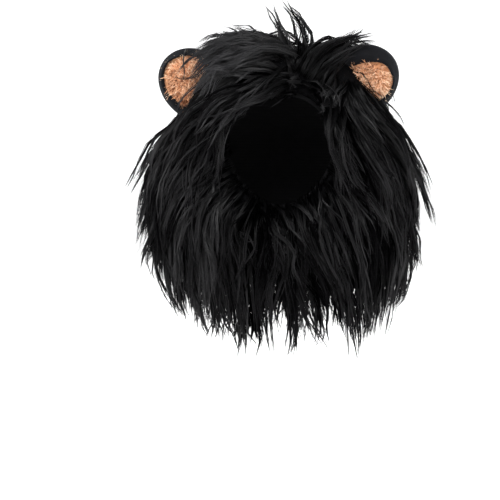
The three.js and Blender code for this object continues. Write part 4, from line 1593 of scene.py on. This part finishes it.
class Pile:
    """Locks of strings, and strings of strands."""

    def __init__(self, look, locks, chance):
        self.look = look
        self.locks = locks
        self.chance = chance
        self.root = locks["guide"][:, 0]
        self.middle = locks["guide"][:, 4]
        self.group = self.groups()
        self.numbers = self.strand_numbers()
        tones = self.tones()
        self.wave, draw = self.waves()
        self.string_numbers = np.maximum(1, np.round(self.numbers / 8)).astype(int)
        self.first_string = np.concatenate([[0], np.cumsum(self.string_numbers)[:-1]])
        self.string = self.strings(tones, draw)

    def groups(self):
        """Which piece of the pile each lock is in, by its root and its middle."""
        x, y, z = self.root.T
        back = y > 16
        group = np.where(self.middle[:, 0] < 0, LEFT, RIGHT)
        group = np.where(back, np.where(x < 0, NAPE_LEFT, NAPE_RIGHT), group)
        group = np.where((np.abs(x) < 46) & (z < -78) & ~back, BIB, group)
        return np.where((z > -8) & ~back, CROWN, group)

    def strand_numbers(self):
        """How many strands each lock has, with more of them low in front and fewer at the nape."""
        at_nape = self.group >= NAPE_LEFT
        length = self.locks["length"]
        weight = self.locks["scale"] ** 1.5 * (length / length.max()) ** 0.5 * np.where(at_nape, 0.68, 1.0)
        weight = weight * (1 + 0.5 * ease(-105, -135, self.root[:, 2]) * ~at_nape)
        return np.maximum(4, np.round(weight / weight.sum() * self.look.strands)).astype(int)

    def tones(self):
        """How light each lock is, with painted light and shade: high locks lighter and deep ones darker as
        painted shade, painted light over the front left of the crown and on the lower left side, painted
        shade on the right of the crown and a painted shadow beside the throat.
        """
        x, y, z = self.middle.T
        height = self.locks["height"]
        # Painted light over the front left of the crown.
        painted_crown_light = ease(12, -20, x) * ease(-25, 10, z) * ease(30, 0, y)
        # The height makes the deep locks darker as painted shade; the ripple and the noise vary the tone at
        # random.
        tone = 0.14 + 0.7 * height + 0.2 * ripple(self.root, 26.0, 4.0)
        tone = tone + self.chance.normal(0, 0.12, len(height)) + painted_crown_light
        # Painted shade on the front right of the crown, and painted light on the lower left side.
        shade = -0.06 * ease(14, 30, x) * ease(-10, 10, z) * ease(20, 0, y)
        shade = shade + 0.14 * ease(-30, -55, x) * (y < 10) * ease(20, -20, z)
        # A painted shadow in the gap beside the throat, strongest on the deep locks.
        gap = np.exp(-(((x + 16) / 11) ** 2) - ((z + 112) / 24) ** 2) * (1.15 - height) * (y < 0)
        return np.clip(tone + shade - 0.75 * gap, 0.0, 2.0)

    def waves(self):
        """How each lock waves, curlier by the face and on the crown, and how far it draws to a point."""
        chance = self.chance
        count = len(self.root)
        x, y, z = self.middle.T
        phase = chance.uniform(0, 2 * math.pi, count)
        beat = chance.uniform(0.6, 1.3, count)
        swing = chance.uniform(0.8, 5.2, count) * np.where(self.locks["scale"] < 0.5, 0.45, 1.0)
        curly = ease(1.75, 1.3, in_face(self.middle, 1.0)) * (y < 0) * ease(-50, -75, z)
        curly = np.maximum(curly, 0.6 * ease(0, -25, x) * ease(-20, 10, z))
        bib = (self.group == BIB) & (np.abs(x) < 40)
        draw = chance.uniform(0.55, 0.92, count) * np.where(bib, 0.55, 1.0)
        draw = draw + (0.93 - draw) * 0.75 * self.locks["neat"]
        wave = {"phase": phase, "beat": beat * (1 + 0.45 * curly), "swing": swing * (1 + 0.55 * curly)}
        return wave, draw

    def strings(self, tones, draw):
        """Strings of about eight strands, each with its own place across the lock and its own waves."""
        chance = self.chance
        count = len(tones)
        of_lock = np.repeat(np.arange(count), self.string_numbers)
        total = len(of_lock)
        spin = chance.uniform(0, 2 * math.pi, total)
        far = np.sqrt(chance.uniform(0, 1, total)) * 6.2 * self.locks["scale"][of_lock]
        flat = chance.uniform(0.35, 0.7, count)[of_lock]
        free = 1 - 0.6 * self.locks["neat"][of_lock]
        return {
            "side": np.cos(spin) * far,
            "out": np.sin(spin) * far * flat,
            "draw": np.clip(draw[of_lock] + chance.normal(0, 0.13, total) * free, 0.2, 0.97),
            "swing": chance.uniform(0.5, 3.0, total),
            "heave": chance.uniform(0.3, 2.0, total),
            "drift": chance.normal(0, 1.0, total)
            * np.where(chance.uniform(0, 1, total) < 0.2, 5.0, 1.4)
            * free,
            "beat": chance.uniform(0.8, 2.1, total),
            "phase": chance.uniform(0, 2 * math.pi, total),
            "reach": np.clip(chance.normal(0.9, 0.11, total), 0.55, 1.0),
            "width": chance.uniform(0.9, 1.9, total),
            "tone": np.clip(tones[of_lock] + chance.normal(0, 0.14, total), 0.0, 2.0),
        }

    def grow(self, index, name):
        """The strands of one piece of the pile, as a mesh."""
        chance = self.chance
        picked = np.flatnonzero(self.group == index)
        rows = np.repeat(picked, self.numbers[picked])
        number = len(rows)
        strings = self.string_numbers[rows]
        choice = np.minimum((chance.uniform(0, 1, number) * strings).astype(int), strings - 1)
        own = {key: value[self.first_string[rows] + choice][:, None] for key, value in self.string.items()}
        lock = {key: value[rows][:, None] for key, value in self.wave.items()}
        root = self.root[rows]

        reach = np.clip(own["reach"] + chance.normal(0, 0.045, (number, 1)), 0.5, 1.0)
        shares = np.linspace(0, 1, len(STRAND_TAPER))[None] * reach
        line = along_guides(self.locks["guide"][rows], shares)
        ahead = unit(np.gradient(line, axis=1))
        low = np.minimum(line[..., 2], -DOME_HEIGHT)
        out = unit(line - xyz(0, 4, low))
        across = unit(np.cross(ahead, out))
        out = unit(np.cross(across, ahead))

        turn = shares * 2 * math.pi
        lock_wave = np.sin(turn * lock["beat"] + lock["phase"]) - np.sin(lock["phase"])
        wave = np.sin(turn * own["beat"] + own["phase"]) - np.sin(own["phase"])
        heave = np.cos(turn * own["beat"] * 1.1 + own["phase"] * 2) - np.cos(own["phase"] * 2)
        narrow = 1 - own["draw"] * shares**1.2
        aside = own["side"] * narrow + own["drift"] * shares**1.3
        aside = aside + (lock_wave * lock["swing"] + wave * own["swing"]) * shares**0.6
        raised = own["out"] * narrow + heave * own["heave"] * shares**0.6

        loose = chance.uniform(0, 1, (number, 1)) < 0.11
        angle = chance.uniform(0, 2 * math.pi, (number, 1))
        off = np.sqrt(chance.uniform(0, 1, (number, 1))) * own["width"]
        spread = np.where(loose, 1 + 2.6 * shares, 1 - 0.7 * shares**1.3)
        fine = np.sin(turn * chance.uniform(1.0, 2.6, (number, 1)) + angle * 3)
        aside = aside + np.cos(angle) * off * spread + fine * np.where(loose, 1.5, 0.22) * shares
        fine = np.cos(turn * chance.uniform(1.0, 2.6, (number, 1)) + angle * 5)
        raised = raised + np.sin(angle) * off * spread * 0.8 + fine * np.where(loose, 1.3, 0.2) * shares
        paths = line + across * aside[..., None] + out * raised[..., None]
        paths = out_of_ears(paths, self.locks["front"][rows][:, None], 0.6)

        foot = ease(-95, -125, root[:, 2]) * (1 - self.locks["height"][rows]) * (root[:, 1] < 20)
        foot = (foot * (0.5 + 0.5 * ease(60, 40, np.abs(root[:, 0]))))[:, None]
        widths = self.look.width / MM * (STRAND_TAPER[None] + foot * FOOT_SWELL)
        widths = widths * chance.uniform(0.75, 1.2, (number, 1)) * np.where(loose, 0.62, 1.0)
        tones = np.clip(own["tone"][:, 0] + chance.normal(0, 0.1, number), 0, 2.0)
        return strand_mesh(name, paths, widths, tones)


class MANE_OT_pile(bpy.types.Operator):
    """Long pile in locks, combed from the parting and round the face"""

    bl_idname = "mane.pile"
    bl_label = "Long pile"

    def execute(self, context):
        look = context.scene.mane_pile
        base = bpy.data.objects.get("undercoat")
        if base is None:
            raise RuntimeError("make the undercoat before the pile")
        tree = BVHTree.FromObject(base, context.evaluated_depsgraph_get())
        chance = np.random.default_rng(11)
        locks = together([long_locks(look, tree, chance), styled_locks(tree, chance)])
        locks = together([locks, short_locks(look, locks["guide"], tree, chance)])
        pile = Pile(look, locks, chance)
        material = long_pile_finish(look)
        for index, (name, nodes) in enumerate(PILE_PIECES):
            finish_piece(pile.grow(index, name), material, nodes)
        return {"FINISHED"}


class MANE_OT_stage(bpy.types.Operator):
    """Pale floor, soft studio light and the camera"""

    bl_idname = "mane.stage"
    bl_label = "Stage"

    def execute(self, context):
        look = context.scene.mane_stage
        scene = context.scene
        sides = 96
        angles = round_turn(sides)
        floor = look.floor_height / MM
        profile = [(1500, 0), (3200, 0), (4200, 60), (4800, 320), (5150, 900), (5300, 1700), (5350, 3000)]
        points = [(0.0, 0.0, floor)]
        for reach, rise in profile:
            points += [(math.cos(a) * reach, math.sin(a) * reach, floor + rise) for a in angles]
        faces = [(0, 1 + j, 1 + (j + 1) % sides) for j in range(sides)]
        faces += [tuple(i + 1 for i in face[::-1]) for face in grid_faces(len(profile), sides)]
        ground = new_object("studio_floor", points, faces)
        ground.data.materials.append(floor_finish(look))

        world = bpy.data.worlds.new("studio_room")
        world.use_nodes = True
        sky = world.node_tree.nodes["Background"]
        sky.inputs["Color"].default_value = (0.97, 0.985, 1.0, 1.0)
        sky.inputs["Strength"].default_value = look.world_light
        scene.world = world

        def softbox(name, place, aim, size, power):
            lamp = bpy.data.lights.new(name, "AREA")
            lamp.shape = "RECTANGLE"
            lamp.size, lamp.size_y = size
            lamp.energy = power
            made = bpy.data.objects.new(name, lamp)
            made.location = place
            made.rotation_euler = (Vector(aim) - Vector(place)).to_track_quat("-Z", "Y").to_euler()
            bpy.context.collection.objects.link(made)

        middle = (0, 0, -0.07)
        softbox("key_light", (-0.35, -1.5, 1.5), middle, (1.4, 1.0), look.key_light)
        softbox("left_light", (-1.8, -0.4, 0.5), middle, (0.8, 1.4), look.side_light)
        softbox("right_light", (1.8, -0.2, 0.4), middle, (0.8, 1.4), look.side_light)
        softbox("back_light", (0.2, 1.7, 1.1), middle, (1.4, 0.8), look.side_light)

        lens = bpy.data.cameras.new("camera")
        lens.sensor_width = 36
        lens.lens = 18 * CAMERA_AWAY / HALF_VIEW
        lens.clip_end = 30
        eye = bpy.data.objects.new("camera", lens)
        back = Vector((0, -math.cos(CAMERA_RISE), math.sin(CAMERA_RISE)))
        eye.location = Vector(AIM * MM) + back * CAMERA_AWAY * MM
        eye.rotation_euler = (math.pi / 2 - CAMERA_RISE, 0, 0)
        bpy.context.collection.objects.link(eye)
        scene.camera = eye
        scene.view_settings.view_transform = "Standard"
        scene.view_settings.look = "None"
        return {"FINISHED"}


class MANE_PT_panel(bpy.types.Panel):
    """The pieces of the mane and their settings"""

    bl_idname = "MANE_PT_panel"
    bl_label = "Lion Mane Wig"
    bl_space_type = "VIEW_3D"
    bl_region_type = "UI"
    bl_category = "Mane"

    def draw(self, context):
        layout = self.layout
        for operator in OPERATORS:
            layout.operator(operator.bl_idname)
        for key in ("mane_hood", "mane_ears", "mane_pile", "mane_stage"):
            group = getattr(context.scene, key)
            box = layout.box()
            for name in group.bl_rna.properties.keys():
                if name not in {"rna_type", "name"}:
                    box.prop(group, name)


OPERATORS = (
    MANE_OT_stage,
    MANE_OT_hood,
    MANE_OT_closing,
    MANE_OT_ears,
    MANE_OT_plush,
    MANE_OT_undercoat,
    MANE_OT_pile,
)
GROUPS = {
    "mane_pile": MANE_PG_pile,
    "mane_ears": MANE_PG_ears,
    "mane_hood": MANE_PG_hood,
    "mane_stage": MANE_PG_stage,
}


def register():
    for group in GROUPS.values():
        bpy.utils.register_class(group)
    for operator in OPERATORS:
        bpy.utils.register_class(operator)
    bpy.utils.register_class(MANE_PT_panel)
    for key, group in GROUPS.items():
        setattr(bpy.types.Scene, key, bpy.props.PointerProperty(type=group))


def unregister():
    for key in GROUPS:
        delattr(bpy.types.Scene, key)
    bpy.utils.unregister_class(MANE_PT_panel)
    for operator in reversed(OPERATORS):
        bpy.utils.unregister_class(operator)
    for group in reversed(list(GROUPS.values())):
        bpy.utils.unregister_class(group)


def main():
    register()
    bpy.ops.mane.stage()
    bpy.ops.mane.hood()
    bpy.ops.mane.closing()
    bpy.ops.mane.ears()
    bpy.ops.mane.plush()
    bpy.ops.mane.undercoat()
    bpy.ops.mane.pile()
    bpy.context.view_layer.update()


if __name__ == "__main__":
    main()
